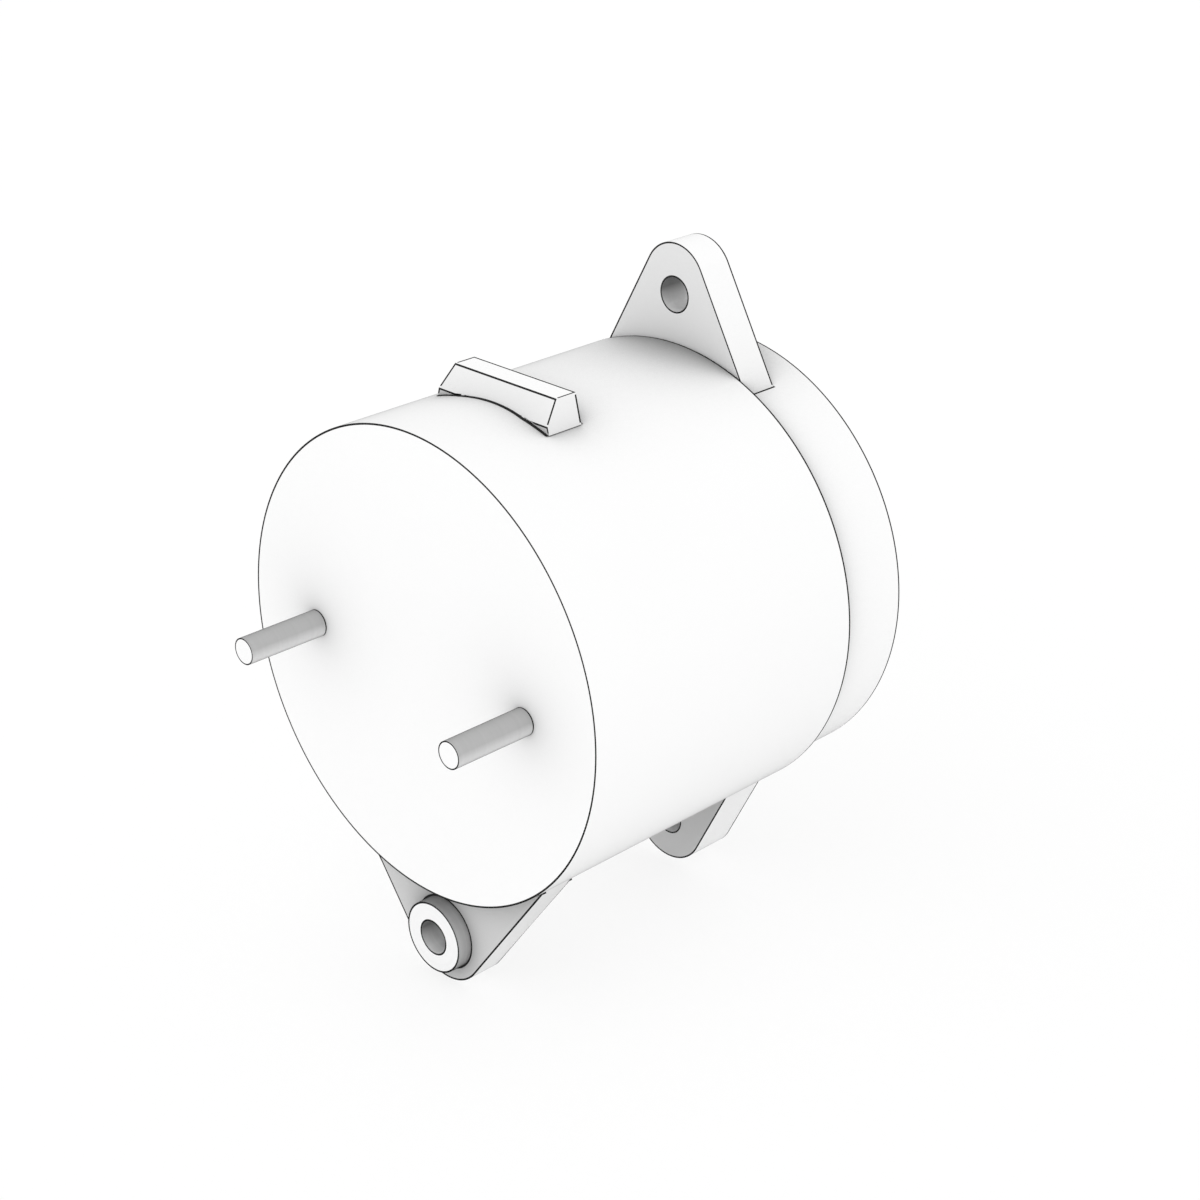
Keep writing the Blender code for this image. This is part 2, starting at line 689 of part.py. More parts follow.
def make_pivot_bush():
    """The steel bush that slides in the rear foot as the pivot bolt is tightened."""
    axis = carrier("pivot_axis", 0, REAR_FOOT_Y, -FOOT_DROP)
    front = REAR_FOOT_Y - BUSH_PROUD
    back = REAR_FOOT_Y + REAR_FOOT_THICKNESS
    profile = [
        (LUG_BOLT_RADIUS, front),
        (BUSH_RADIUS - EDGE_BREAK, front),
        (BUSH_RADIUS, front + EDGE_BREAK),
        (BUSH_RADIUS, back),
        (LUG_BOLT_RADIUS, back),
    ]
    turned("pivot_bush", profile, STEEL, axis, MEDIUM_SIDES, z=-FOOT_DROP)


# Terminals, rectifier and regulator


def make_terminal(name, side):
    """A stud held by its head behind a heat sink, with an insulating washer on the end wall."""
    washer = END_WALL + GAP
    sink = washer + STUD_WASHER_THICKNESS + GAP
    head = sink + HEAT_SINK_THICKNESS + GAP
    x = side * STUD_OFFSET
    stud = [
        (0, -STUD_REACH),
        (STUD_RADIUS, -STUD_REACH),
        (STUD_RADIUS, head),
        (STUD_HEAD_RADIUS, head),
        (STUD_HEAD_RADIUS, head + STUD_HEAD_HEIGHT),
        (0, head + STUD_HEAD_HEIGHT),
    ]
    turned(f"{name}_stud", stud, STEEL, sides=SMALL_SIDES, x=x)
    ring = [
        (STUD_RADIUS + GAP, washer),
        (STUD_WASHER_RADIUS, washer),
        (STUD_WASHER_RADIUS, washer + STUD_WASHER_THICKNESS),
        (STUD_RADIUS + GAP, washer + STUD_WASHER_THICKNESS),
    ]
    turned(f"{name}_insulator", ring, NATURAL_PLASTIC, sides=TINY_SIDES, x=x)

    middle = 0 if side > 0 else math.pi
    inner = BEARING_BOSS_RADIUS + HEAT_SINK_MARGIN
    outer = BOLT_CIRCLE - BOLT_BOSS_RADIUS - GAP
    first = middle - HEAT_SINK_HALF_ANGLE
    last = middle + HEAT_SINK_HALF_ANGLE
    sector = arc((0, 0), outer, first, last, LONG_ARC_STEPS)
    sector += arc((0, 0), inner, last, first, MIDDLE_ARC_STEPS)
    holes = [circle((x, 0), STUD_RADIUS + GAP, TINY_SIDES)]
    for angle in DIODE_ANGLES:
        holes.append(circle(polar(STUD_OFFSET, middle + angle), DIODE_RADIUS + GAP, TINY_SIDES))
    plate = plate_mesh("heat_sink", [sector] + holes, sink, sink + HEAT_SINK_THICKNESS)
    part(f"{name}_heat_sink", plate, ALUMINIUM)

    for index, angle in enumerate(DIODE_ANGLES, start=1):
        top = sink + DIODE_HEIGHT
        can = [
            (0, sink),
            (DIODE_RADIUS, sink),
            (DIODE_RADIUS, top),
            (DIODE_LEAD_RADIUS, top),
            (DIODE_LEAD_RADIUS, top + DIODE_LEAD_LENGTH),
            (0, top + DIODE_LEAD_LENGTH),
        ]
        diode_x, diode_z = polar(STUD_OFFSET, middle + angle)
        turned(f"{name}_diode_{index}", can, STEEL, sides=TINY_SIDES, x=diode_x, z=diode_z)


def make_regulator():
    """The potted voltage regulator on the end wall, below the rear bearing."""
    bm = bmesh.new()
    half = REGULATOR_WIDTH / 2
    drop = math.sqrt((CHAMBER_RADIUS - REGULATOR_CLEARANCE) ** 2 - half ** 2)
    low = (-half, END_WALL + GAP, -drop)
    high = (half, END_WALL + GAP + REGULATOR_DEPTH, REGULATOR_HEIGHT - drop)
    add_box(bm, low, high)
    regulator = part("voltage_regulator", mesh_of(bm, "voltage_regulator"), PLASTIC)
    bevel = regulator.modifiers.new("Bevel", "BEVEL")
    bevel.width = REGULATOR_EDGE
    bevel.segments = 1
    return regulator


# Brush gear


def neck_half_depth():
    return COVER_DEPTH / 2 - COVER_RIM - GAP


def brush_channel_half_depth():
    return BRUSH_THICKNESS / 2 + GAP


def ring_centres():
    return (BRUSH_Y - SLIP_RING_PITCH / 2, BRUSH_Y + SLIP_RING_PITCH / 2)


def channel_roof():
    return CHAMBER_RADIUS - HOLDER_CLEARANCE - HOLDER_ROOF


def make_brush_holder():
    """The moulded holder, whose neck fills the slot in the housing under the cover."""
    half_width = BRUSH_WIDTH / 2 + GAP + HOLDER_SIDE_WALL
    bottom = SLIP_RING_RADIUS + HOLDER_LIFT
    top = CHAMBER_RADIUS - HOLDER_CLEARANCE
    bm = bmesh.new()
    low = (-half_width, BRUSH_Y - HOLDER_HALF_DEPTH, bottom)
    high = (half_width, BRUSH_Y + HOLDER_HALF_DEPTH, top)
    add_box(bm, low, high)
    holder = part("brush_holder", mesh_of(bm, "brush_holder"), PLASTIC)

    neck = neck_half_depth()
    neck_top = math.sqrt(HOUSING_RADIUS ** 2 - NECK_WIDTH ** 2 / 4) - 2 * GAP
    bm = bmesh.new()
    low = (-NECK_WIDTH / 2, BRUSH_Y - neck, top - HOLDER_ROOF / 2)
    add_box(bm, low, (NECK_WIDTH / 2, BRUSH_Y + neck, neck_top))
    join(holder, "holder_neck", mesh_of(bm, "holder_neck"))

    bm = bmesh.new()
    width = BRUSH_WIDTH / 2 + GAP
    depth = brush_channel_half_depth()
    for centre in ring_centres():
        add_box(bm, (-width, centre - depth, 0), (width, centre + depth, channel_roof()))
    cut(holder, "brush_channels", mesh_of(bm, "brush_channels"))
    return holder


def make_brush(index, centre):
    """A carbon brush, its foot curved to the slip ring, and the spring that presses it down."""
    axis = carrier(f"brush_axis_{index}", 0, centre, SLIP_RING_RADIUS)
    foot = SLIP_RING_RADIUS - GAP
    top = SLIP_RING_RADIUS + GAP + BRUSH_LENGTH
    bm = bmesh.new()
    half = BRUSH_THICKNESS / 2
    add_box(bm, (-BRUSH_WIDTH / 2, centre - half, foot), (BRUSH_WIDTH / 2, centre + half, top))
    brush = part(f"brush_{index}", mesh_of(bm, "brush"), CARBON, axis)
    bm = bmesh.new()
    radius = SLIP_RING_RADIUS + GAP
    add_cylinder(bm, radius, centre - BRUSH_THICKNESS, centre + BRUSH_THICKNESS, 0, 0, LARGE_SIDES)
    cut(brush, f"brush_foot_{index}", mesh_of(bm, "brush_foot"))

    start = top + GAP + SPRING_WIRE_RADIUS
    length = channel_roof() - GAP - SPRING_WIRE_RADIUS - start
    steps = SPRING_SIDES * SPRING_TURNS
    curve = bpy.data.curves.new(f"brush_spring_{index}", "CURVE")
    curve.dimensions = "3D"
    curve.bevel_depth = SPRING_WIRE_RADIUS
    curve.bevel_resolution = 0
    curve.use_fill_caps = True
    spline = curve.splines.new("POLY")
    spline.points.add(steps)
    for step, point in enumerate(spline.points):
        x, y = polar(SPRING_RADIUS, math.tau * SPRING_TURNS * step / steps)
        point.co = (x, y, length * step / steps, 1)
    spring = bpy.data.objects.new(f"brush_spring_{index}", curve)
    curve.materials.append(finish_material(spring.name, STEEL))
    spring.location = (0, centre, start)
    PARTS.objects.link(spring)


def make_brush_cover():
    """The trapezoid cover over the brush slot, seated on the round of the housing."""
    top = HOUSING_RADIUS + COVER_RISE
    base = HOUSING_RADIUS - COVER_DEPTH
    back = COVER_Y + COVER_DEPTH
    section = [
        (COVER_Y, base),
        (COVER_Y, top - COVER_FRONT_DROP),
        (COVER_Y + COVER_TOP_SETBACK, top),
        (back, top),
        (back, base),
    ]
    base_half = COVER_TOP_WIDTH / 2 + (top - base) * COVER_END_SLOPE
    side_mesh = plate_mesh("cover_section", [section], -base_half, base_half)
    side_mesh.transform(Matrix.Rotation(math.radians(90), 4, "Z"))
    cover = part("brush_cover", side_mesh, PAINT)
    ends = [
        (-base_half, base),
        (base_half, base),
        (COVER_TOP_WIDTH / 2, top),
        (-COVER_TOP_WIDTH / 2, top),
    ]
    combine(cover, "INTERSECT", cutter("cover_ends", plate_mesh("cover_ends", [ends], 0, back + COVER_Y)))
    bm = bmesh.new()
    add_cylinder(bm, HOUSING_RADIUS + GAP, 0, back + COVER_Y, 0, 0, 2 * HOUSING_SIDES)
    cut(cover, "cover_seat", mesh_of(bm, "cover_seat"))
    return cover


# Stator


def stator_outline():
    """The core's outer edge, notched where the through bolts pass."""
    notch = BOLT_RADIUS + 2 * GAP
    half = math.acos((STATOR_RADIUS ** 2 + BOLT_CIRCLE ** 2 - notch ** 2) / (2 * STATOR_RADIUS * BOLT_CIRCLE))
    points = []
    for index, (x, z) in enumerate(bolt_places()):
        middle = math.atan2(z, x)
        next_middle = middle + math.tau / BOLT_COUNT
        left_x, left_z = polar(STATOR_RADIUS, middle - half)
        start = math.atan2(left_z - z, left_x - x) - middle
        sweep = 2 * math.pi + 2 * start if start < 0 else 2 * start
        points += arc((x, z), notch, middle + start, middle + start - sweep, SHORT_ARC_STEPS)
        points += arc((0, 0), STATOR_RADIUS, middle + half, next_middle - half, LONG_ARC_STEPS)[1:-1]
    return points


def stator_bore_outline():
    """The toothed bore: straight-sided slots between the teeth."""
    points = []
    for index in range(SLOT_COUNT):
        middle = math.tau * index / SLOT_COUNT
        mouth = math.asin(SLOT_WIDTH / 2 / STATOR_BORE)
        floor = math.asin(SLOT_WIDTH / 2 / SLOT_RADIUS)
        points.append(polar(STATOR_BORE, middle - mouth))
        points.append(polar(SLOT_RADIUS, middle - floor))
        points.append(polar(SLOT_RADIUS, middle + floor))
        points.append(polar(STATOR_BORE, middle + mouth))
    return points


def end_turn_profile(inside, outside):
    """A bundle of end turns from beside the core to its free end, where its corner is round."""
    inner = STATOR_BORE + AIR_GAP + GAP
    outer = SLOT_RADIUS - GAP
    corner = min(END_TURN_CORNER, (outer - inner) / 2)
    toward_core = math.copysign(corner, inside - outside)
    return [
        (inner, inside),
        (outer, inside),
        (outer, outside + toward_core),
        (outer - corner, outside),
        (inner, outside),
    ]


def make_stator():
    core = plate_mesh("stator_core", [stator_outline(), stator_bore_outline()], STATOR_Y, STATOR_END_Y)
    part("stator_core", core, ELECTRICAL_STEEL)

    rear = end_turn_profile(STATOR_Y - GAP, STATOR_Y - GAP - END_TURN_LENGTH)
    winding = turned("stator_winding", rear, COPPER, sides=SLOT_COUNT)
    front = end_turn_profile(STATOR_END_Y + GAP, STATOR_END_Y + GAP + END_TURN_LENGTH)
    combine(winding, "UNION", turned_tool("front_end_turns", front, SLOT_COUNT))
    bm = bmesh.new()
    half = SLOT_WIDTH / 2 - GAP
    low = (STATOR_BORE + AIR_GAP + 2 * GAP, STATOR_Y - END_TURN_LENGTH / 2, -half)
    high = (SLOT_RADIUS - 2 * GAP, STATOR_END_Y + END_TURN_LENGTH / 2, half)
    for index in range(SLOT_COUNT):
        add_box(bm, low, high, math.tau * index / SLOT_COUNT)
    join(winding, "slot_bars", mesh_of(bm, "slot_bars"))


# Rotor


def make_claw_pole(name, axis, outer_face, direction, turn):
    """Half of the rotor: a hub, a disc and tapered claws reaching over the field coil."""
    tip = ROTOR_LENGTH - CLAW_SETBACK
    middle = ROTOR_LENGTH / 2 - GAP / 2
    depths = [
        (ROTOR_SEAT_RADIUS + GAP, 0),
        (ROTOR_RADIUS - CLAW_CHAMFER, 0),
        (ROTOR_RADIUS, CLAW_CHAMFER),
        (ROTOR_RADIUS, tip),
        (ROTOR_RADIUS - CLAW_TIP_THICKNESS, tip),
        (CLAW_INNER_RADIUS, POLE_DISC),
        (POLE_HUB_RADIUS, POLE_DISC),
        (POLE_HUB_RADIUS, middle),
        (ROTOR_SEAT_RADIUS + GAP, middle),
    ]
    profile = [(radius, outer_face + direction * depth) for radius, depth in depths]
    pole = turned(name, profile, DARK_STEEL, axis, LARGE_SIDES)
    claws = POLE_COUNT // 2
    half_pitch = math.pi / claws
    inner = POLE_HUB_RADIUS + CLAW_ROOT_THICKNESS / 2
    outer = ROTOR_RADIUS + CLAW_ROOT_THICKNESS
    bm = bmesh.new()
    for index in range(claws):
        verts = bmesh.ops.create_cube(bm, size=2)["verts"]
        for vert in verts:
            at_tip = vert.co.y > 0
            radius = outer if vert.co.x > 0 else inner
            claw = CLAW_TIP_HALF_ANGLE if at_tip else CLAW_ROOT_HALF_ANGLE
            width = radius * math.tan(half_pitch - claw) * (1 if vert.co.z > 0 else -1)
            depth = tip + CLAW_SETBACK if at_tip else -CLAW_SETBACK
            vert.co = (radius, outer_face + direction * depth, width)
        place = Matrix.Rotation(-(turn + half_pitch * (2 * index + 1)), 4, "Y")
        bmesh.ops.transform(bm, matrix=place, verts=verts)
    bmesh.ops.recalc_face_normals(bm, faces=bm.faces)
    cut(pole, f"{name}_gaps", mesh_of(bm, f"{name}_gaps"))
    return pole


def make_field_winding(axis):
    start = ROTOR_Y + POLE_DISC + GAP
    end = ROTOR_END_Y - POLE_DISC - GAP
    inner = POLE_HUB_RADIUS + GAP
    outer = CLAW_INNER_RADIUS - 3 * GAP
    spool = [
        (inner, start),
        (outer, start),
        (outer, start + BOBBIN_WALL),
        (inner + BOBBIN_WALL, start + BOBBIN_WALL),
        (inner + BOBBIN_WALL, end - BOBBIN_WALL),
        (outer, end - BOBBIN_WALL),
        (outer, end),
        (inner, end),
    ]
    turned("field_bobbin", spool, NATURAL_PLASTIC, axis, SMALL_SIDES)
    first = start + BOBBIN_WALL + GAP
    last = end - BOBBIN_WALL - GAP
    coil = [
        (inner + BOBBIN_WALL + GAP, first),
        (outer - COIL_CROWN, first),
        (outer, (2 * first + last) / 3),
        (outer, (first + 2 * last) / 3),
        (outer - COIL_CROWN, last),
        (inner + BOBBIN_WALL + GAP, last),
    ]
    turned("field_coil", coil, COPPER, axis, SMALL_SIDES)


def make_slip_rings(axis):
    """Two rings on an insulating hub with a rib at each end and one between."""
    bore = RING_SEAT_RADIUS + GAP
    seat = SLIP_RING_RADIUS - SLIP_RING_THICKNESS - GAP
    rib = SLIP_RING_RADIUS - 2 * GAP
    end = RING_HUB_Y + RING_HUB_LENGTH
    hub = [(bore, RING_HUB_Y), (rib, RING_HUB_Y)]
    for centre in ring_centres():
        first = centre - SLIP_RING_WIDTH / 2 - GAP
        last = centre + SLIP_RING_WIDTH / 2 + GAP
        hub += [(rib, first), (seat, first), (seat, last), (rib, last)]
        ring = [
            (seat + GAP, first + GAP),
            (SLIP_RING_RADIUS, first + GAP),
            (SLIP_RING_RADIUS, last - GAP),
            (seat + GAP, last - GAP),
        ]
        index = 1 if centre < BRUSH_Y else 2
        turned(f"slip_ring_{index}", ring, COPPER, axis, MEDIUM_SIDES)
    hub += [(rib, end), (bore, end)]
    turned("slip_ring_hub", hub, PLASTIC, axis, SMALL_SIDES)


def make_shaft(axis):
    """A stepped shaft, smallest at its ends, with a keyway under the pulley."""
    start = REAR_BEARING_Y + GAP
    ring_seat = REAR_BEARING_END_Y + GAP
    rotor_seat = ROTOR_Y - RING_TO_ROTOR / 2
    collar = ROTOR_END_Y + GAP
    thread = WASHER_Y
    profile = [
        (0, start),
        (REAR_JOURNAL_RADIUS - EDGE_BREAK, start),
        (REAR_JOURNAL_RADIUS, start + EDGE_BREAK),
        (REAR_JOURNAL_RADIUS, ring_seat),
        (RING_SEAT_RADIUS, ring_seat),
        (RING_SEAT_RADIUS, rotor_seat),
        (ROTOR_SEAT_RADIUS, rotor_seat),
        (ROTOR_SEAT_RADIUS, collar),
        (FRONT_JOURNAL_RADIUS, collar),
        (FRONT_JOURNAL_RADIUS, thread),
        (THREAD_RADIUS, thread),
        (THREAD_RADIUS, SHAFT_END_Y - SHAFT_END_RELIEF / 2),
        (THREAD_RADIUS - SHAFT_END_RELIEF / 2, SHAFT_END_Y),
        (0, SHAFT_END_Y),
    ]
    shaft = turned("rotor_shaft", profile, STEEL, axis, SMALL_SIDES)
    cut(shaft, "shaft_keyway", key_mesh("shaft_keyway", GAP, 2 * KEY_DEPTH))
    socket = hexagon((0, 0), SHAFT_SOCKET_WIDTH)
    depth = SHAFT_SOCKET_DEPTH
    cut(shaft, "shaft_socket", plate_mesh("shaft_socket", [socket], SHAFT_END_Y - depth, SHAFT_END_Y + depth))


def key_mesh(name, clearance, above):
    """The key, or with a clearance the space cut for it in the shaft."""
    middle = (PULLEY_Y + PULLEY_END_Y) / 2
    half = KEY_LENGTH / 2 + clearance
    width = KEY_WIDTH / 2 + clearance
    low = (-width, middle - half, FRONT_JOURNAL_RADIUS - KEY_DEPTH - clearance)
    bm = bmesh.new()
    add_box(bm, low, (width, middle + half, FRONT_JOURNAL_RADIUS + above))
    return mesh_of(bm, name)


def blade_outlines():
    """Fan blades seen along the shaft: bent strips whose tips lie just inside the rim of the disc."""
    points = [(0.0, 0.0)]
    step = FAN_BLADE_LENGTH / BLADE_STEPS
    for index in range(BLADE_STEPS):
        share = 2 * (index + 0.5) / BLADE_STEPS - 1
        dx, dz = polar(step, FAN_BLADE_SWEEP + share * FAN_BLADE_CURL)
        points.append((points[-1][0] + dx, points[-1][1] + dz))
    dx, dz = points[-1]
    inner = math.sqrt((FAN_RADIUS - FAN_SHEET) ** 2 - dz ** 2) - dx
    sides = ([], [])
    for index, (x, z) in enumerate(points):
        lean = FAN_BLADE_SWEEP + (2 * index / BLADE_STEPS - 1) * FAN_BLADE_CURL
        across_x, across_z = polar(FAN_SHEET / 2, lean + math.pi / 2)
        sides[0].append((inner + x + across_x, z + across_z))
        sides[1].append((inner + x - across_x, z - across_z))
    strip = sides[1] + sides[0][::-1]
    tip_angle = math.atan2(dz, inner + dx)
    outlines = []
    for index in range(FAN_BLADE_COUNT):
        turn = math.tau * index / FAN_BLADE_COUNT - tip_angle
        outlines.append([polar(math.hypot(x, z), math.atan2(z, x) + turn) for x, z in strip])
    return outlines


def make_drive(axis):
    """The spacer, fan, pulley, key, washer and nut clamped on the front of the shaft."""
    bore = FRONT_JOURNAL_RADIUS + GAP
    collar_start = ROTOR_END_Y + 2 * GAP
    collar_end = FRONT_BEARING_Y - GAP
    collar = [
        (bore, collar_start),
        (COLLAR_RADIUS, collar_start),
        (COLLAR_RADIUS, collar_end),
        (bore, collar_end),
    ]
    turned("rotor_collar", collar, STEEL, axis, SMALL_SIDES)
    spacer_start = FRONT_BEARING_END_Y + GAP
    spacer_end = FAN_Y - GAP
    spacer = [
        (bore, spacer_start),
        (SPACER_RADIUS, spacer_start),
        (SPACER_RADIUS, spacer_end),
        (bore, spacer_end),
    ]
    turned("fan_spacer", spacer, STEEL, axis, SMALL_SIDES)

    disc = [(bore, FAN_Y), (FAN_RADIUS, FAN_Y), (FAN_RADIUS, FAN_Y + FAN_SHEET), (bore, FAN_Y + FAN_SHEET)]
    fan = turned("cooling_fan", disc, STEEL, axis, LARGE_SIDES)
    blades = plate_mesh("fan_blades", blade_outlines(), FAN_BLADE_Y, FAN_Y + FAN_SHEET / 2)
    join(fan, "fan_blades", blades)
    bm = bmesh.new()
    for index in range(FAN_BLADE_COUNT):
        x, z = polar(FAN_RADIUS, math.tau * (index + 0.5) / FAN_BLADE_COUNT)
        add_cylinder(bm, FAN_NOTCH_RADIUS, FAN_Y - FAN_SHEET, FAN_Y + 2 * FAN_SHEET, x, z)
    cut(fan, "fan_notches", mesh_of(bm, "fan_notches"))

    groove = (PULLEY_Y + PULLEY_END_Y) / 2
    half_mouth = PULLEY_GROOVE_WIDTH / 2
    half_floor = PULLEY_GROOVE_FLOOR / 2
    dish = PULLEY_END_Y - PULLEY_DISH_DEPTH
    section = [
        (bore, PULLEY_Y),
        (PULLEY_RADIUS - PULLEY_RIM_CHAMFER, PULLEY_Y),
        (PULLEY_RADIUS, PULLEY_Y + PULLEY_RIM_CHAMFER),
        (PULLEY_RADIUS, groove - half_mouth),
        (PULLEY_GROOVE_RADIUS, groove - half_floor),
        (PULLEY_GROOVE_RADIUS, groove + half_floor),
        (PULLEY_RADIUS, groove + half_mouth),
        (PULLEY_RADIUS, PULLEY_END_Y - PULLEY_RIM_CHAMFER),
        (PULLEY_RADIUS - PULLEY_RIM_CHAMFER, PULLEY_END_Y),
        (PULLEY_DISH_RADIUS, PULLEY_END_Y),
        (PULLEY_DISH_RADIUS, dish),
        (PULLEY_HUB_RADIUS, dish),
        (PULLEY_HUB_RADIUS, PULLEY_END_Y),
        (bore, PULLEY_END_Y),
    ]
    pulley = turned("drive_pulley", section, STEEL, axis, LARGE_SIDES)
    bm = bmesh.new()
    slot = KEY_WIDTH / 2 + GAP
    low = (-slot, PULLEY_Y - GAP, 0)
    add_box(bm, low, (slot, PULLEY_END_Y + GAP, FRONT_JOURNAL_RADIUS + KEY_DEPTH + GAP))
    cut(pulley, "pulley_keyway", mesh_of(bm, "pulley_keyway"))
    part("pulley_key", key_mesh("pulley_key", 0, KEY_DEPTH), STEEL, axis)

    washer = [
        (THREAD_RADIUS + GAP, WASHER_Y),
        (WASHER_RADIUS, WASHER_Y),
        (WASHER_RADIUS, WASHER_Y + WASHER_THICKNESS),
        (THREAD_RADIUS + GAP, WASHER_Y + WASHER_THICKNESS),
    ]
    turned("pulley_washer", washer, STEEL, axis, SMALL_SIDES)

    bore_circle = circle((0, 0), THREAD_RADIUS + GAP, SMALL_SIDES)
    flats = hexagon((0, 0), NUT_ACROSS_FLATS)
    nut = plate_mesh("pulley_nut", [flats, bore_circle], NUT_Y, NUT_Y + NUT_HEIGHT)
    part("pulley_nut", nut, DARK_STEEL, axis)


# Bearings


def make_bearing(name, sizes, start, rotor_axis):
    """Outer race in the casting, inner race on the shaft, and the balls in their cage between."""
    bore, outside, width, ball = sizes
    pitch = (bore + outside) / 4
    middle = start + width / 2
    land = RACE_LAND * ball
    floor = ball + BALL_GAP
    mouth = RACE_MOUTH * ball
    root = RACE_FLOOR * ball
    for race, side, edge, axis in (("inner", -1, bore / 2, rotor_axis), ("outer", 1, outside / 2, None)):
        profile = [
            (edge, start),
            (pitch + side * land, start),
            (pitch + side * land, middle - mouth),
            (pitch + side * floor, middle - root),
            (pitch + side * floor, middle + root),
            (pitch + side * land, middle + mouth),
            (pitch + side * land, start + width),
            (edge, start + width),
        ]
        turned(f"{name}_{race}_race", profile, STEEL, axis, SMALL_SIDES)
    cage_axis = carrier(f"{name}_cage_axis", 0, middle, 0)
    strip = CAGE_STRIP * ball
    half_width = CAGE_HALF_WIDTH * ball
    band = [
        (pitch - strip, middle - half_width),
        (pitch + strip, middle - half_width),
        (pitch + strip, middle + half_width),
        (pitch - strip, middle + half_width),
    ]
    cage = turned(f"{name}_balls_and_cage", band, STEEL, cage_axis, SMALL_SIDES)
    bm = bmesh.new()
    for index in range(BALL_COUNT):
        x, z = polar(pitch, math.tau * index / BALL_COUNT)
        place = Matrix.Translation((x, middle, z))
        bmesh.ops.create_uvsphere(bm, u_segments=BALL_SIDES, v_segments=BALL_RINGS, radius=ball, matrix=place)
    join(cage, f"{name}_balls", mesh_of(bm, f"{name}_balls"))


def make_retainer():
    """The plate and screws that hold the front bearing in its pocket from inside."""
    inner = FRONT_BEARING_OUTSIDE / 2 - RETAINER_LAP
    end = FRONT_BEARING_Y - GAP
    start = end - RETAINER_THICKNESS
    screw_circle = FRONT_BEARING_OUTSIDE / 2 + GAP + HUB_WALL / 2
    places = []
    for index in range(RETAINER_SCREW_COUNT):
        places.append(polar(screw_circle, math.tau * index / RETAINER_SCREW_COUNT + math.pi / 2))
    outlines = [circle((0, 0), HUB_RADIUS, MEDIUM_SIDES), circle((0, 0), inner, SMALL_SIDES)]
    for place in places:
        outlines.append(circle(place, RETAINER_SCREW_RADIUS + GAP, TINY_SIDES))
    part("bearing_retainer", plate_mesh("bearing_retainer", outlines, start, end), STEEL)
    head = start - GAP
    tip = head + RETAINER_SCREW_LENGTH
    profile = [
        (0, head - RETAINER_SCREW_HEAD_HEIGHT),
        (RETAINER_SCREW_HEAD_RADIUS, head - RETAINER_SCREW_HEAD_HEIGHT),
        (RETAINER_SCREW_HEAD_RADIUS, head),
        (RETAINER_SCREW_RADIUS, head),
        (RETAINER_SCREW_RADIUS, tip),
        (0, tip),
    ]
    bm = bmesh.new()
    for index, (x, z) in enumerate(places, start=1):
        turned(f"retainer_screw_{index}", profile, DARK_STEEL, sides=TINY_SIDES, x=x, z=z)
        add_cylinder(bm, RETAINER_SCREW_RADIUS + GAP, end - GAP, tip + GAP, x, z)
    cut(bpy.data.objects["drive_end_bracket"], "retainer_screw_holes", mesh_of(bm, "retainer_screw_holes"))


def make_rotor():
    axis = carrier("rotor_axis", 0, STATOR_CENTRE_Y, 0)
    make_shaft(axis)
    make_claw_pole("rear_claw_pole", axis, ROTOR_Y, 1, 0)
    make_claw_pole("front_claw_pole", axis, ROTOR_END_Y, -1, math.tau / POLE_COUNT)
    make_field_winding(axis)
    make_slip_rings(axis)
    make_drive(axis)
    rear = (REAR_BEARING_BORE, REAR_BEARING_OUTSIDE, REAR_BEARING_WIDTH, REAR_BALL_RADIUS)
    make_bearing("rear_bearing", rear, REAR_BEARING_Y, axis)
    front = (FRONT_BEARING_BORE, FRONT_BEARING_OUTSIDE, FRONT_BEARING_WIDTH, FRONT_BALL_RADIUS)
    make_bearing("front_bearing", front, FRONT_BEARING_Y, axis)


def main():
    make_rear_housing()
    make_drive_end_bracket()
    make_through_bolts()
    make_pivot_bush()
    make_terminal("output", 1)
    make_terminal("ground", -1)
    make_regulator()
    make_brush_holder()
    for index, centre in enumerate(ring_centres(), start=1):
        make_brush(index, centre)
    make_brush_cover()
    make_stator()
    make_rotor()
    make_retainer()
    bpy.context.view_layer.update()
    for obj in PARTS.objects:
        if obj.type == "MESH":
            settle(obj)


main()
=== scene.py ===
import math

import bmesh
import bpy
from mathutils import Matrix, Vector


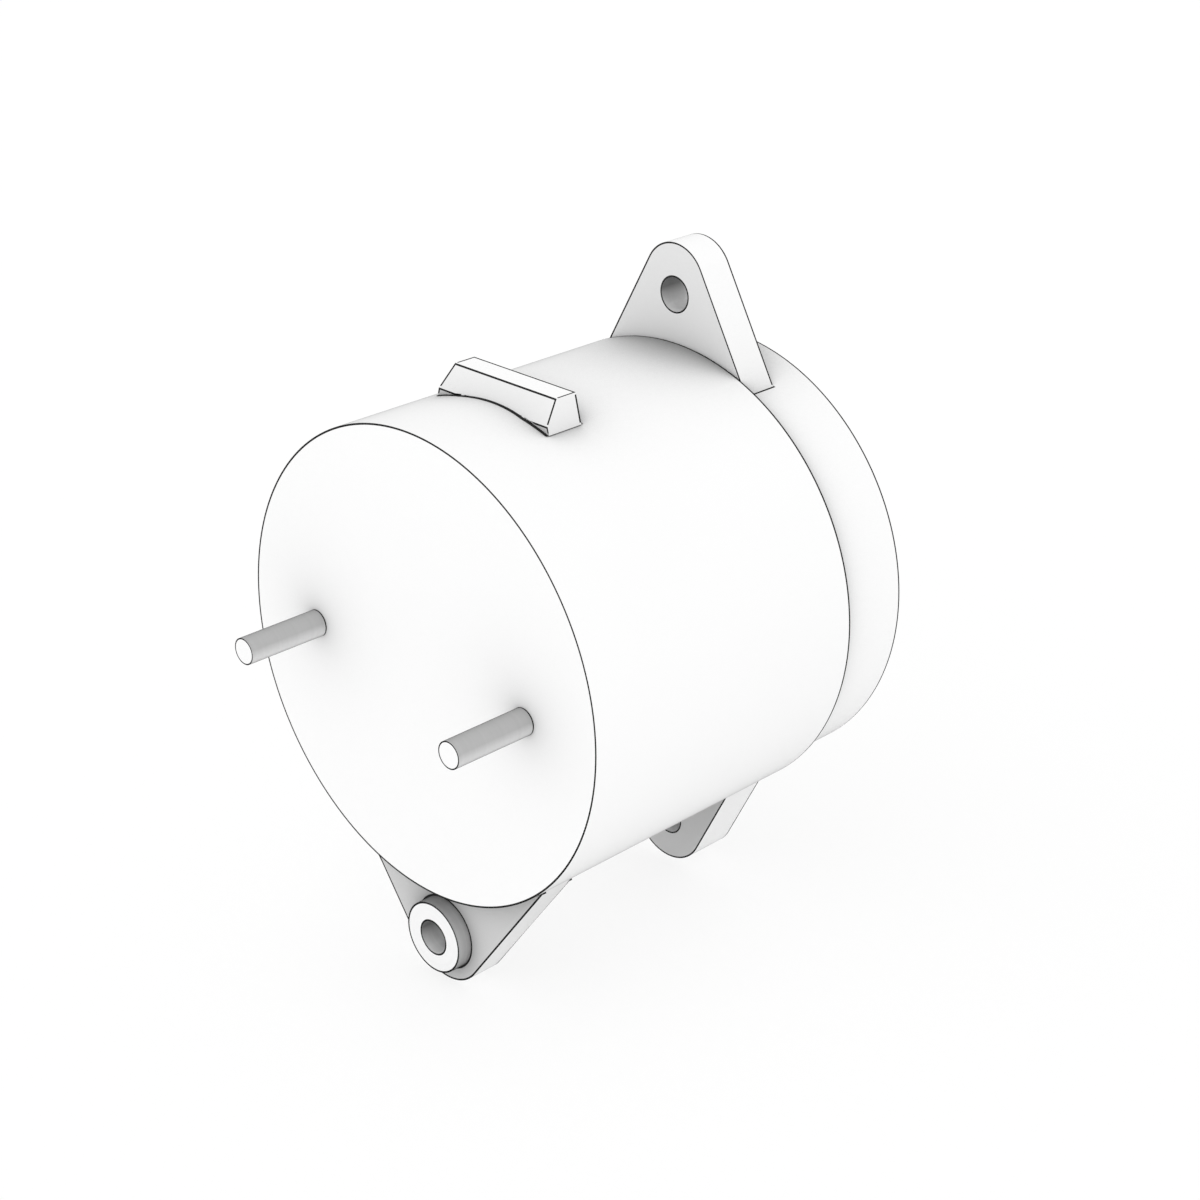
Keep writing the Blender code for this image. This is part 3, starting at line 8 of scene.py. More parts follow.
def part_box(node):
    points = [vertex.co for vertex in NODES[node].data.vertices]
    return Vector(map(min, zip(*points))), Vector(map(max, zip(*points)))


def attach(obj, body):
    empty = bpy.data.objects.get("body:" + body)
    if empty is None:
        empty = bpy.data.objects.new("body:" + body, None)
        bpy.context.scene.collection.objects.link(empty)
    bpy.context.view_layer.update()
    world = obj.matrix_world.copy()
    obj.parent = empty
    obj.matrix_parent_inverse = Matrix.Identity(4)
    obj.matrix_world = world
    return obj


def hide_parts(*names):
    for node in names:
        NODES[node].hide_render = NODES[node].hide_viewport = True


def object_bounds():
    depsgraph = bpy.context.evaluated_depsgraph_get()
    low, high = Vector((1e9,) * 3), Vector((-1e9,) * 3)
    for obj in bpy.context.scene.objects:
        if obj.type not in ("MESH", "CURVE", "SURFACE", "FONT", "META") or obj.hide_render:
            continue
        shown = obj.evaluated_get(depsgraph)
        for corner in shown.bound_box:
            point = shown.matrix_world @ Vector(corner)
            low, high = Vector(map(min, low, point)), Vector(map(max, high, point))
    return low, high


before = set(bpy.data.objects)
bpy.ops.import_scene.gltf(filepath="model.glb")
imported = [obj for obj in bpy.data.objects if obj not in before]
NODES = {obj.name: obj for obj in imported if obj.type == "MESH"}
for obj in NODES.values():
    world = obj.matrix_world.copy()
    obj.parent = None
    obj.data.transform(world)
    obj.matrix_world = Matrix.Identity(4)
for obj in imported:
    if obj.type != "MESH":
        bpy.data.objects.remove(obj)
CAD_BOX = [list(corner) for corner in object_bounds()]

# Clearances, in metres
GAP = 0.0003
FIT = 0.00003

# Rear housing and its foot
HOUSING_RADIUS = 0.0700
HOUSING_LENGTH = 0.1014
END_WALL = 0.0040
CHAMBER_RADIUS = 0.0624
STATOR_RADIUS = 0.0640
STATOR_Y = 0.0544
FOOT_DROP = 0.0877
REAR_FOOT_Y = 0.0075
REAR_FOOT_THICKNESS = 0.0099
REAR_FOOT_TIP_RADIUS = 0.0154
REAR_FOOT_ROOT_ANGLE = math.radians(45)
BRUSH_SLOT_HALF_WIDTH = 0.0103
LUG_ROOT_DEPTH = 0.0020
LUG_BOLT_RADIUS = 0.0051

# Drive-end bracket
BRACKET_RADIUS = 0.0671
FACE_Y = 0.1267
STATOR_END_Y = 0.0874
SPIGOT_WALL = 0.0065
BAND_WALL = 0.0051
FACE_WALL = 0.0045
HUB_RADIUS = 0.0310
BEARING_POCKET_RADIUS = 0.0238
BEARING_LIP_RADIUS = 0.0181
SHAFT_HOLE_RADIUS = 0.0130
FRONT_BEARING_Y = 0.1060
BEARING_LIP = 0.0064
INNER_RACE_RELIEF = 0.0021
TOP_LUG_TIP_HEIGHT = 0.0881
TOP_LUG_HOLE_HEIGHT = 0.0843
TOP_LUG_TIP_RADIUS = 0.0116
TOP_LUG_ROOT_ANGLE = math.radians(27.54)
TOP_LUG_THICKNESS = 0.0115
FRONT_FOOT_TIP_RADIUS = 0.0140
FRONT_FOOT_ROOT_ANGLE = math.radians(29.17)
FRONT_FOOT_THICKNESS = 0.0152
WINDOW_COUNT = 14
WINDOW_INNER_RADIUS = 0.0345
WINDOW_OUTER_RADIUS = 0.05505
SPOKE_WIDTH = 0.0062

# Through bolts and terminal studs
BOLT_CIRCLE = 0.0615
BOLT_COUNT = 4
BOLT_BOSS_RADIUS = 0.0051
BOLT_RADIUS = 0.0025
BOLT_HEAD_RADIUS = 0.00425
BOLT_HEAD_HEIGHT = 0.0048
BOLT_SOCKET_WIDTH = 0.0040
BOLT_SOCKET_DEPTH = 0.0026
STUD_OFFSET = 0.0427
STUD_RADIUS = 0.0040
STUD_HEAD_RADIUS = 0.0070
STUD_HEAD_HEIGHT = 0.0035

# Brush cover
COVER_TOP_WIDTH = 0.0402
COVER_END_SLOPE = 0.247
COVER_FRONT_DROP = 0.0063
COVER_TOP_SETBACK = 0.0049
GASKET_LIP = 0.0008
GASKET_THICKNESS = 0.0002

# Stator winding
SLOT_COUNT = 36
SLOT_PITCH = math.tau / SLOT_COUNT
SLOTS_PER_POLE = 3
SLOT_HALF_WIDTH = 0.0019
SLOT_RADIUS = 0.0565
STATOR_BORE = 0.0472
WIRE_RADIUS = 0.00105
WIRE_LAYERS = 3
WIRE_STEPS = 14
WIRE_SIDES = 8
INNER_WIRE_REACH = 0.80
END_TURN_FULLNESS = 0.6

# Rotor
ROTOR_Y = 0.0474
ROTOR_END_Y = 0.0944
ROTOR_RADIUS = 0.0465
CLAW_COUNT = 6
CLAW_INNER_RADIUS = 0.0365
POLE_HUB_RADIUS = 0.0200
POLE_DISC = 0.0110
ROTOR_SEAT_RADIUS = 0.0095
CLAW_SETBACK = 0.0020
CLAW_CHAMFER = 0.0020
CLAW_TIP_THICKNESS = 0.0035
CLAW_ROOT_THICKNESS = 0.0100
CLAW_ROOT_HALF_ANGLE = math.radians(13.5)
CLAW_TIP_HALF_ANGLE = math.radians(5.5)

# Shaft and its nut
THREAD_RADIUS = 0.0077
THREAD_PITCH = 0.0015
THREAD_DEPTH = 0.0008
THREAD_STEPS_PER_TURN = 8
FRONT_JOURNAL_RADIUS = 0.0082
ROTOR_JOURNAL_RADIUS = 0.0092
RING_SEAT_RADIUS = 0.0079
REAR_JOURNAL_RADIUS = 0.0072
SHAFT_CHAMFER = 0.0009
SHAFT_SOCKET_WIDTH = 0.0080
SHAFT_SOCKET_DEPTH = 0.0070
KEY_HALF_WIDTH = 0.0018
KEY_FLOOR = 0.0061
NUT_ACROSS_FLATS = 0.0240
NUT_BORE = 0.0080
NUT_CHAMFER_ANGLE = math.radians(30)

# Fan and pulley
FAN_SHEET = 0.0016
FAN_BORE = 0.0085
FAN_BLADE_COUNT = 12
FAN_BLADE_LENGTH = 0.0150
FAN_BLADE_SWEEP = math.radians(35)
FAN_BLADE_CURL = math.radians(24)
FAN_NOTCH_RADIUS = 0.0042
FAN_RIB_RADIUS = 0.0285
FAN_RIB_WIDTH = 0.0022
FAN_RIB_DEPTH = 0.0004
BLADE_STEPS = 16
PULLEY_GROOVE_RADIUS = 0.0240
PULLEY_GROOVE_HALF_MOUTH = 0.0055
PULLEY_GROOVE_HALF_FLOOR = 0.0022
PULLEY_RIM_ROUND = 0.0009
PULLEY_DISH_RADIUS = 0.0200
PULLEY_HUB_RADIUS = 0.0140
PULLEY_DISH_DEPTH = 0.0090

# Fineness of round pieces
LARGE_SIDES = 192
MEDIUM_SIDES = 96
SMALL_SIDES = 48
LONG_ARC_STEPS = 40
SHORT_ARC_STEPS = 12
ROUND_STEPS = 5

# Dark lines along the corners; a bracket line is narrower, so that lines of close corners stay apart
LINE_WIDTH = 0.00056
BRACKET_LINE_WIDTH = 0.00050
STUD_LINE_WIDTH = 0.00040
FINE_LINE_WIDTH = 0.00026
LINE_ANGLE = math.radians(24)
SMOOTH_ANGLE = math.radians(16)
FLAT_ANGLE = math.radians(0.3)
WELD_DISTANCE = 0.000002

# How far a unit normal points along the shaft: enough to be an end face, or to be tilted at all
END_FACE_SHARE = 0.5
TILT_SHARE = 0.2
SAME_FACE_SHARE = 0.98

# Paint and metal; scales are grains to the metre
PATCH_SCALE = 18
PATCH_SHADE = 0.992
GLOSS_SCALE = 60
PEEL_SCALE = 900
PEEL_STRENGTH = 0.05
PEEL_HEIGHT = 0.0002
MARK_SCALE = 900
MARK_STRENGTH = 0.10
MARK_HEIGHT = 0.00006
GRAIN_HEIGHT = 0.00005
FILM_SPECULAR = 0.06
FILM_IOR = 1.0005
FILM_ROUGHNESS = 0.4
MACHINED_SIDE_METALLIC = 0.1
# Painted shade in corners: its reach on bare metal, its samples and its tones by openness
METAL_SHADE_REACH = 0.006
SHADE_SAMPLES = 16
SHADE_TONES = ((0.0, 0.0), (0.5, 0.22), (0.78, 0.58), (0.92, 0.86), (1.0, 1.0))

# Floor, light and camera
FLOOR_HALF_SIZE = 30
FLOOR_TONE = 0.98
FLOOR_GLOW = 0.25
SEEN_GLOW = 0.55
SKY_STRENGTH = 1.05
CAMERA_PLACE = (0.46711, -0.39586, 0.30579)
CAMERA_AZIMUTH = math.radians(45)
CAMERA_ELEVATION = math.radians(25)
CAMERA_LENS = 74.585
CAMERA_SENSOR = 36
NEAREST_SEEN = 0.01
FURTHEST_SEEN = 100


# Outlines


def polar(radius, angle):
    return (radius * math.cos(angle), radius * math.sin(angle))


def arc(centre, radius, start, end, steps):
    points = []
    for step in range(steps + 1):
        x, z = polar(radius, start + (end - start) * step / steps)
        points.append((centre[0] + x, centre[1] + z))
    return points


def hexagon(centre, across_flats):
    return arc(centre, across_flats / 2 / math.cos(math.pi / 6), 0, math.tau, 6)[:-1]


def lug_outline(height, tip_radius, root_angle, root_radius, side):
    """A round tip with straight flanks, which meet the root circle root_angle from its middle."""
    across = root_radius * math.sin(root_angle)
    below = root_radius * math.cos(root_angle) - height
    lean = math.atan2(below, across) + math.acos(tip_radius / math.hypot(across, below))
    tip = arc((0, height), tip_radius, lean, math.pi - lean, LONG_ARC_STEPS)
    middle = math.pi / 2
    root = arc((0, 0), root_radius, middle + root_angle, middle - root_angle, LONG_ARC_STEPS)
    return [(x, side * z) for x, z in tip + root]


# Meshes


def add_turned(bm, profile, sides, x=0.0, z=0.0):
    """A profile of (radius, y) points turned about the line through x, z along Y."""
    part = bmesh.new()
    rings = []
    for radius, y in profile:
        if radius == 0:
            rings.append([part.verts.new((x, y, z))])
            continue
        ring = []
        for side in range(sides):
            dx, dz = polar(radius, math.tau * side / sides)
            ring.append(part.verts.new((x + dx, y, z + dz)))
        rings.append(ring)
    closed = profile[0][0] != 0 or profile[-1][0] != 0
    pairs = list(zip(rings, rings[1:] + rings[:1])) if closed else list(zip(rings, rings[1:]))
    # A profile point on the axis stands for a flat end
    for low, high in pairs:
        if len(low) == 1:
            part.faces.new(high)
            bmesh.ops.delete(part, geom=low, context="VERTS")
        elif len(high) == 1:
            part.faces.new(low[::-1])
            bmesh.ops.delete(part, geom=high, context="VERTS")
        else:
            for side in range(sides):
                following = (side + 1) % sides
                part.faces.new((low[side], low[following], high[following], high[side]))
    bmesh.ops.recalc_face_normals(part, faces=part.faces)
    merge(bm, part)


def add_cylinder(bm, radius, start, end, x, z, sides=SMALL_SIDES):
    add_turned(bm, [(0, start), (radius, start), (radius, end), (0, end)], sides, x, z)


def add_box(bm, low, high, turn=0.0):
    """A box between two corners, turned about the rotor axis."""
    part = bmesh.new()
    size = [b - a for a, b in zip(low, high)]
    centre = [(a + b) / 2 for a, b in zip(low, high)]
    place = Matrix.Rotation(-turn, 4, "Y") @ Matrix.Translation(centre) @ Matrix.Diagonal((*size, 1))
    bmesh.ops.create_cube(part, size=1, matrix=place)
    merge(bm, part)


def add_plate(bm, outline, start, end):
    """A flat outline of (x, z) points given thickness along Y."""
    part = bmesh.new()
    low = [part.verts.new((x, start, z)) for x, z in outline]
    high = [part.verts.new((x, end, z)) for x, z in outline]
    part.faces.new(low)
    part.faces.new(high[::-1])
    for index in range(len(outline)):
        following = (index + 1) % len(outline)
        part.faces.new((low[index], high[index], high[following], low[following]))
    bmesh.ops.recalc_face_normals(part, faces=part.faces)
    merge(bm, part)


def add_tube(bm, points, radius, sides):
    """A round wire through a list of points, closed at both ends."""
    part = bmesh.new()
    rings = []
    for index, point in enumerate(points):
        before = points[max(index - 1, 0)]
        after = points[min(index + 1, len(points) - 1)]
        along = (after - before).normalized()
        across = along.cross(Vector((0, 1, 0.01))).normalized()
        other = along.cross(across)
        ring = []
        for side in range(sides):
            a, b = polar(radius, math.tau * side / sides)
            ring.append(part.verts.new(point + across * a + other * b))
        rings.append(ring)
    for low, high in zip(rings, rings[1:]):
        for side in range(sides):
            following = (side + 1) % sides
            part.faces.new((low[side], low[following], high[following], high[side]))
    part.faces.new(rings[0])
    part.faces.new(rings[-1])
    bmesh.ops.recalc_face_normals(part, faces=part.faces)
    merge(bm, part)


def merge(bm, part):
    mesh = bpy.data.meshes.new("part")
    part.to_mesh(mesh)
    part.free()
    bm.from_mesh(mesh)
    bpy.data.meshes.remove(mesh)


def object_of(bm, name):
    mesh = bpy.data.meshes.new(name)
    bm.to_mesh(mesh)
    bm.free()
    obj = bpy.data.objects.new(name, mesh)
    bpy.context.scene.collection.objects.link(obj)
    return obj


def turned_object(name, profile, sides, x=0.0, z=0.0):
    bm = bmesh.new()
    add_turned(bm, profile, sides, x, z)
    return object_of(bm, name)


def combine(obj, operation, bm):
    """Joins a mesh to obj, cuts it out or keeps what both hold."""
    tool = object_of(bm, "tool")
    modifier = obj.modifiers.new("combine", "BOOLEAN")
    modifier.operation = operation
    modifier.solver = "EXACT"
    modifier.object = tool
    bake(obj)
    bpy.data.objects.remove(tool)


def bake(obj):
    """Turns obj's modifiers into its mesh."""
    graph = bpy.context.evaluated_depsgraph_get()
    mesh = bpy.data.meshes.new_from_object(obj.evaluated_get(graph))
    obj.modifiers.clear()
    old = obj.data
    obj.data = mesh
    mesh.name = obj.name
    bpy.data.meshes.remove(old)


def tidy(obj):
    """Removes the edges that a boolean leaves inside flat faces."""
    bm = bmesh.new()
    bm.from_mesh(obj.data)
    bmesh.ops.remove_doubles(bm, verts=bm.verts, dist=WELD_DISTANCE)
    bmesh.ops.dissolve_limit(bm, angle_limit=FLAT_ANGLE, verts=bm.verts, edges=bm.edges)
    bmesh.ops.recalc_face_normals(bm, faces=bm.faces)
    bm.to_mesh(obj.data)
    bm.free()


def is_end(normal):
    """Whether a face looks along the shaft."""
    return abs(normal.y) > END_FACE_SHARE


def split_materials(obj, rule):
    """Gives each face the material index that rule returns for its centre and normal."""
    for face in obj.data.polygons:
        face.material_index = rule(Vector(face.center), Vector(face.normal))


# Corner lines


def line_to_drop(first, second):
    """Of a corner's two strips, the one nearer the drive end goes, or else the lower one."""
    if abs(first.normal.y - second.normal.y) > TILT_SHARE:
        return first if first.normal.y > second.normal.y else second
    return first if first.normal.z < second.normal.z else second


def draw_lines(obj, width, line):
    """Draws a thin dark strip along each corner of obj, flush with the face that it lies on."""
    strips = obj.modifiers.new("corner_lines", "BEVEL")
    strips.width = width
    strips.segments = 2
    strips.profile = 1.0
    strips.limit_method = "ANGLE"
    strips.angle_limit = LINE_ANGLE
    strips.use_clamp_overlap = False
    strips.loop_slide = False
    strips.material = line
    bake(obj)
    bm = bmesh.new()
    bm.from_mesh(obj.data)
    bm.normal_update()
    dropped = set()
    for edge in bm.edges:
        faces = edge.link_faces
        if len(faces) != 2 or any(face.material_index != line for face in faces):
            continue
        if edge.calc_face_angle(0) > LINE_ANGLE:
            dropped.add(line_to_drop(*faces))
    # A dropped strip takes the material of the face that it lies on
    while dropped:
        plain = {}
        for face in dropped:
            for neighbour in [other for edge in face.edges for other in edge.link_faces]:
                same_face = face.normal.dot(neighbour.normal) > SAME_FACE_SHARE
                if same_face and neighbour.material_index != line:
                    plain[face] = neighbour.material_index
        for face, material in plain.items():
            face.material_index = material
            dropped.discard(face)
        if not plain:
            break
    bm.to_mesh(obj.data)
    bm.free()


def round_normals(obj, radius):
    """Gives the faces that lie on a cylinder about the rotor axis its exact normals."""
    mesh = obj.data
    normals = [normal.vector.copy() for normal in mesh.corner_normals]
    for face in mesh.polygons:
        if abs(face.normal.y) > TILT_SHARE:
            continue
        places = [mesh.vertices[index].co for index in face.vertices]
        if all(abs(math.hypot(place.x, place.z) - radius) < FIT for place in places):
            for loop, place in zip(face.loop_indices, places):
                normals[loop] = Vector((place.x, 0, place.z)).normalized()
    mesh.normals_split_custom_set(normals)


def finish_piece(obj, body, nodes, materials, width=LINE_WIDTH):
    """Gives obj its materials and corner lines and lets it ride in place of CAD nodes."""
    for material in materials:
        obj.data.materials.append(material)
    if width:
        obj.data.materials.append(LINE)
        draw_lines(obj, width, len(materials))
    obj.data.shade_smooth()
    obj.data.set_sharp_from_angle(angle=SMOOTH_ANGLE)
    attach(obj, body)
    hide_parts(*nodes)


# Material nodes


def new_material(name):
    material = bpy.data.materials.new(name)
    material.use_nodes = True
    tree = material.node_tree
    return material, tree, tree.nodes["Principled BSDF"]


def link(tree, source, target):
    tree.links.new(source, target)


def object_place(tree):
    return tree.nodes.new("ShaderNodeTexCoord").outputs["Object"]


def place_about_axis(tree, x, z):
    """Distance from the line through x, z along Y, and place along it, for marks that run round it."""
    shift = tree.nodes.new("ShaderNodeVectorMath")
    shift.operation = "SUBTRACT"
    shift.inputs[1].default_value = (x, 0, z)
    link(tree, object_place(tree), shift.inputs[0])
    across = tree.nodes.new("ShaderNodeVectorMath")
    across.operation = "MULTIPLY"
    across.inputs[1].default_value = (1, 0, 1)
    link(tree, shift.outputs["Vector"], across.inputs[0])
    reach = tree.nodes.new("ShaderNodeVectorMath")
    reach.operation = "LENGTH"
    link(tree, across.outputs["Vector"], reach.inputs[0])
    parts = tree.nodes.new("ShaderNodeSeparateXYZ")
    link(tree, shift.outputs["Vector"], parts.inputs[0])
    place = tree.nodes.new("ShaderNodeCombineXYZ")
    link(tree, reach.outputs["Value"], place.inputs["X"])
    link(tree, parts.outputs["Y"], place.inputs["Y"])
    return place.outputs["Vector"]


def noise(tree, place, scale, detail=4.0, roughness=0.5):
    texture = tree.nodes.new("ShaderNodeTexNoise")
    texture.inputs["Scale"].default_value = scale
    texture.inputs["Detail"].default_value = detail
    texture.inputs["Roughness"].default_value = roughness
    link(tree, place, texture.inputs["Vector"])
    return texture.outputs["Fac"]


def ramp(tree, factor, stops):
    """Colours along a factor; stops are (position, grey or colour)."""
    node = tree.nodes.new("ShaderNodeValToRGB")
    elements = node.color_ramp.elements
    while len(elements) < len(stops):
        elements.new(0.5)
    for element, (position, colour) in zip(elements, stops):
        if not isinstance(colour, tuple):
            colour = (colour, colour, colour)
        element.position = position
        element.color = (*colour, 1)
    link(tree, factor, node.inputs["Fac"])
    return node.outputs["Color"]


def multiply(tree, first, second):
    node = tree.nodes.new("ShaderNodeMix")
    node.data_type = "RGBA"
    node.blend_type = "MULTIPLY"
    node.inputs["Factor"].default_value = 1.0
    link(tree, first, node.inputs["A"])
    link(tree, second, node.inputs["B"])
    return node.outputs["Result"]


def painted_corner_shade(tree, reach, dark):
    """Painted shade: a tone that falls to dark where surfaces close in on each other."""
    node = tree.nodes.new("ShaderNodeAmbientOcclusion")
    node.samples = SHADE_SAMPLES
    node.inputs["Distance"].default_value = reach
    stops = [(openness, dark + (1 - dark) * tone) for openness, tone in SHADE_TONES]
    return ramp(tree, node.outputs["AO"], stops)


def bump(tree, shader, height, strength, distance):
    node = tree.nodes.new("ShaderNodeBump")
    node.inputs["Strength"].default_value = strength
    node.inputs["Distance"].default_value = distance
    link(tree, height, node.inputs["Height"])
    link(tree, node.outputs["Normal"], shader.inputs["Normal"])


def add_coat(shader, tint):
    """A clear film that darkens towards the outline of a round surface."""
    shader.inputs["Specular IOR Level"].default_value = FILM_SPECULAR
    shader.inputs["Coat Weight"].default_value = 1.0
    shader.inputs["Coat IOR"].default_value = FILM_IOR
    shader.inputs["Coat Roughness"].default_value = FILM_ROUGHNESS
    shader.inputs["Coat Tint"].default_value = (tint, tint, tint, 1)


# Materials


def paint_material(name, tone, dark, reach, coat):
    """Satin paint over a casting: faint orange peel, slightly uneven tone and painted shade in its corners.
    """
    material, tree, shader = new_material(name)
    place = object_place(tree)
    patches = noise(tree, place, PATCH_SCALE, detail=5, roughness=0.6)
    patches = ramp(tree, patches, [(0.3, tone * PATCH_SHADE), (0.7, tone)])
    # Painted shade: the paint darkens where surfaces close in on each other
    corners = painted_corner_shade(tree, reach, dark)
    link(tree, multiply(tree, patches, corners), shader.inputs["Base Color"])
    gloss = ramp(tree, noise(tree, place, GLOSS_SCALE, detail=3), [(0.3, 0.50), (0.7, 0.58)])
    link(tree, gloss, shader.inputs["Roughness"])
    add_coat(shader, coat)
    bump(tree, shader, noise(tree, place, PEEL_SCALE, detail=2), PEEL_STRENGTH, PEEL_HEIGHT)
    return material


def metal_material(name, dark, light, roughness, scale, axis=None, shade_dark=0.4, metallic=0.9, coat=None):
    """Bare metal with fine tool marks, which run round an axis along Y where one is given, and painted
    shade in its corners.
    """
    material, tree, shader = new_material(name)
    place = object_place(tree) if axis is None else place_about_axis(tree, *axis)
    marks = noise(tree, place, scale, detail=3, roughness=0.6)
    tone = ramp(tree, marks, [(0.3, dark), (0.7, light)])
    # Painted shade: darker where surfaces close in on each other
    corners = painted_corner_shade(tree, METAL_SHADE_REACH, shade_dark)
    link(tree, multiply(tree, tone, corners), shader.inputs["Base Color"])
    rough = ramp(tree, marks, [(0.2, roughness * 0.85), (0.8, roughness * 1.15)])
    link(tree, rough, shader.inputs["Roughness"])
    shader.inputs["Metallic"].default_value = metallic
    if coat:
        add_coat(shader, coat)
    bump(tree, shader, marks, MARK_STRENGTH, MARK_HEIGHT)
    return material


def up_down_shade(tree, stops):
    """Painted light and shade, as a tone set by how far a surface faces down or up: 0 is straight down and
    1 straight up.
    """
    parts = tree.nodes.new("ShaderNodeSeparateXYZ")
    link(tree, tree.nodes.new("ShaderNodeTexCoord").outputs["Normal"], parts.inputs[0])
    share = tree.nodes.new("ShaderNodeMapRange")
    share.inputs["From Min"].default_value = -1.0
    link(tree, parts.outputs["Z"], share.inputs["Value"])
    return ramp(tree, share.outputs["Result"], stops)


def up_down_shaded_material(name, stops, grain, gloss, axis, coat=None):
    """A machined side with painted light and shade: its tone goes from one value where it faces down to
    another where it faces up, with marks round an axis.
    """
    material, tree, shader = new_material(name)
    marks = noise(tree, place_about_axis(tree, *axis), MARK_SCALE, detail=3, roughness=0.6)
    shade = ramp(tree, marks, [(0.3, grain), (0.7, 1.0)])
    link(tree, multiply(tree, up_down_shade(tree, stops), shade), shader.inputs["Base Color"])
    link(tree, ramp(tree, marks, [(0.2, gloss[0]), (0.8, gloss[1])]), shader.inputs["Roughness"])
    shader.inputs["Metallic"].default_value = MACHINED_SIDE_METALLIC
    if coat:
        add_coat(shader, coat)
    bump(tree, shader, marks, MARK_STRENGTH, MARK_HEIGHT)
    return material


def stud_material(name, x):
    """A plated stud side with painted light and shade: darker where it faces up and lighter where it faces
    down.
    """
    stops = [(0.30, 0.95), (0.68, 0.58)]
    return up_down_shaded_material(name, stops, grain=0.95, gloss=(0.42, 0.52), axis=(x, 0), coat=0.86)


def bore_material(name, axis):
    """A reamed bolt hole with painted light and shade: light where its wall faces up and dark where it
    faces down.
    """
    stops = [(0.40, 0.20), (0.95, 0.85)]
    return up_down_shaded_material(name, stops, grain=0.92, gloss=(0.45, 0.60), axis=axis)


def plain_material(name, dark, light, roughness, scale, metallic=0.0, strength=0.2, specular=0.5):
    """An even finish with a fine grain."""
    material, tree, shader = new_material(name)
    grain = noise(tree, object_place(tree), scale, detail=4, roughness=0.6)
    link(tree, ramp(tree, grain, [(0.3, dark), (0.7, light)]), shader.inputs["Base Color"])
    rough = ramp(tree, grain, [(0.2, roughness * 0.9), (0.8, roughness * 1.1)])
    link(tree, rough, shader.inputs["Roughness"])
    shader.inputs["Metallic"].default_value = metallic
    shader.inputs["Specular IOR Level"].default_value = specular
    bump(tree, shader, grain, strength, GRAIN_HEIGHT)
    return material


ROTOR_AXIS = (0, 0)
FOOT_AXIS = (0, -FOOT_DROP)
LINE = plain_material(
    "corner_line", dark=0.020, light=0.030, roughness=0.8, scale=700, strength=0.0, specular=0.0
)
# One white paint in copies with different amounts of painted corner shade; the lug and foot copies are also
# darker all over, as painted shade
PAINT = paint_material("satin_white_paint", tone=0.985, dark=0.05, reach=0.080, coat=0.978)
END_PAINT = paint_material("satin_white_end_paint", tone=0.985, dark=0.68, reach=0.060, coat=0.990)
LUG_SHADED_PAINT = paint_material("satin_white_lug_paint_shaded", tone=0.84, dark=0.90, reach=0.060, coat=0.990)
FOOT_SHADED_PAINT = paint_material("satin_white_foot_paint_shaded", tone=0.68, dark=0.60, reach=0.060, coat=0.990)
COVER_PAINT = paint_material("satin_white_cover_paint", tone=0.985, dark=0.45, reach=0.060, coat=0.985)
BORE = bore_material("machined_bore", FOOT_AXIS)
BUSH_SIDE = metal_material(
    "turned_bush_side", 0.58, 0.66, 0.45, 900, FOOT_AXIS, shade_dark=0.8, metallic=0.1, coat=0.85
)
BUSH_END = metal_material("turned_bush_end", 0.93, 0.95, 0.5, 900, FOOT_AXIS, metallic=0.0)
STUD_END = metal_material("turned_stud_end", 0.95, 0.97, 0.5, 900, metallic=0.0)
PLATED = metal_material("zinc_plated_steel", 0.68, 0.72, 0.36, 700)
PULLEY = metal_material("turned_pulley_steel", 0.56, 0.64, 0.32, 1500, ROTOR_AXIS)
TURNED = metal_material("turned_steel", 0.58, 0.66, 0.30, 1200, ROTOR_AXIS)
DARK = metal_material("blackened_steel", 0.10, 0.13, 0.45, 900, metallic=0.7)
GROUND = metal_material("ground_steel", 0.70, 0.76, 0.22, 1500, ROTOR_AXIS)
LAMINATION = metal_material("lamination_edges", 0.30, 0.42, 0.5, 900, metallic=0.7)
ALUMINIUM = metal_material("bare_aluminium", 0.74, 0.80, 0.42, 300)
COPPER = metal_material("enamelled_copper", (0.42, 0.17, 0.07), (0.62, 0.27, 0.11), 0.32, 160, metallic=0.8)
CARBON = plain_material("brush_carbon", 0.045, 0.08, 0.7, 500, metallic=0.1)
BLACK = plain_material("black_moulding", 0.025, 0.035, 0.5, 800)
NATURAL = plain_material("natural_moulding", (0.55, 0.45, 0.28), (0.62, 0.51, 0.33), 0.55, 500)


# Castings


def bolt_places():
    """The four through bolts, as (x, z)."""
    return [polar(BOLT_CIRCLE, math.tau * (index + 0.5) / BOLT_COUNT) for index in range(BOLT_COUNT)]


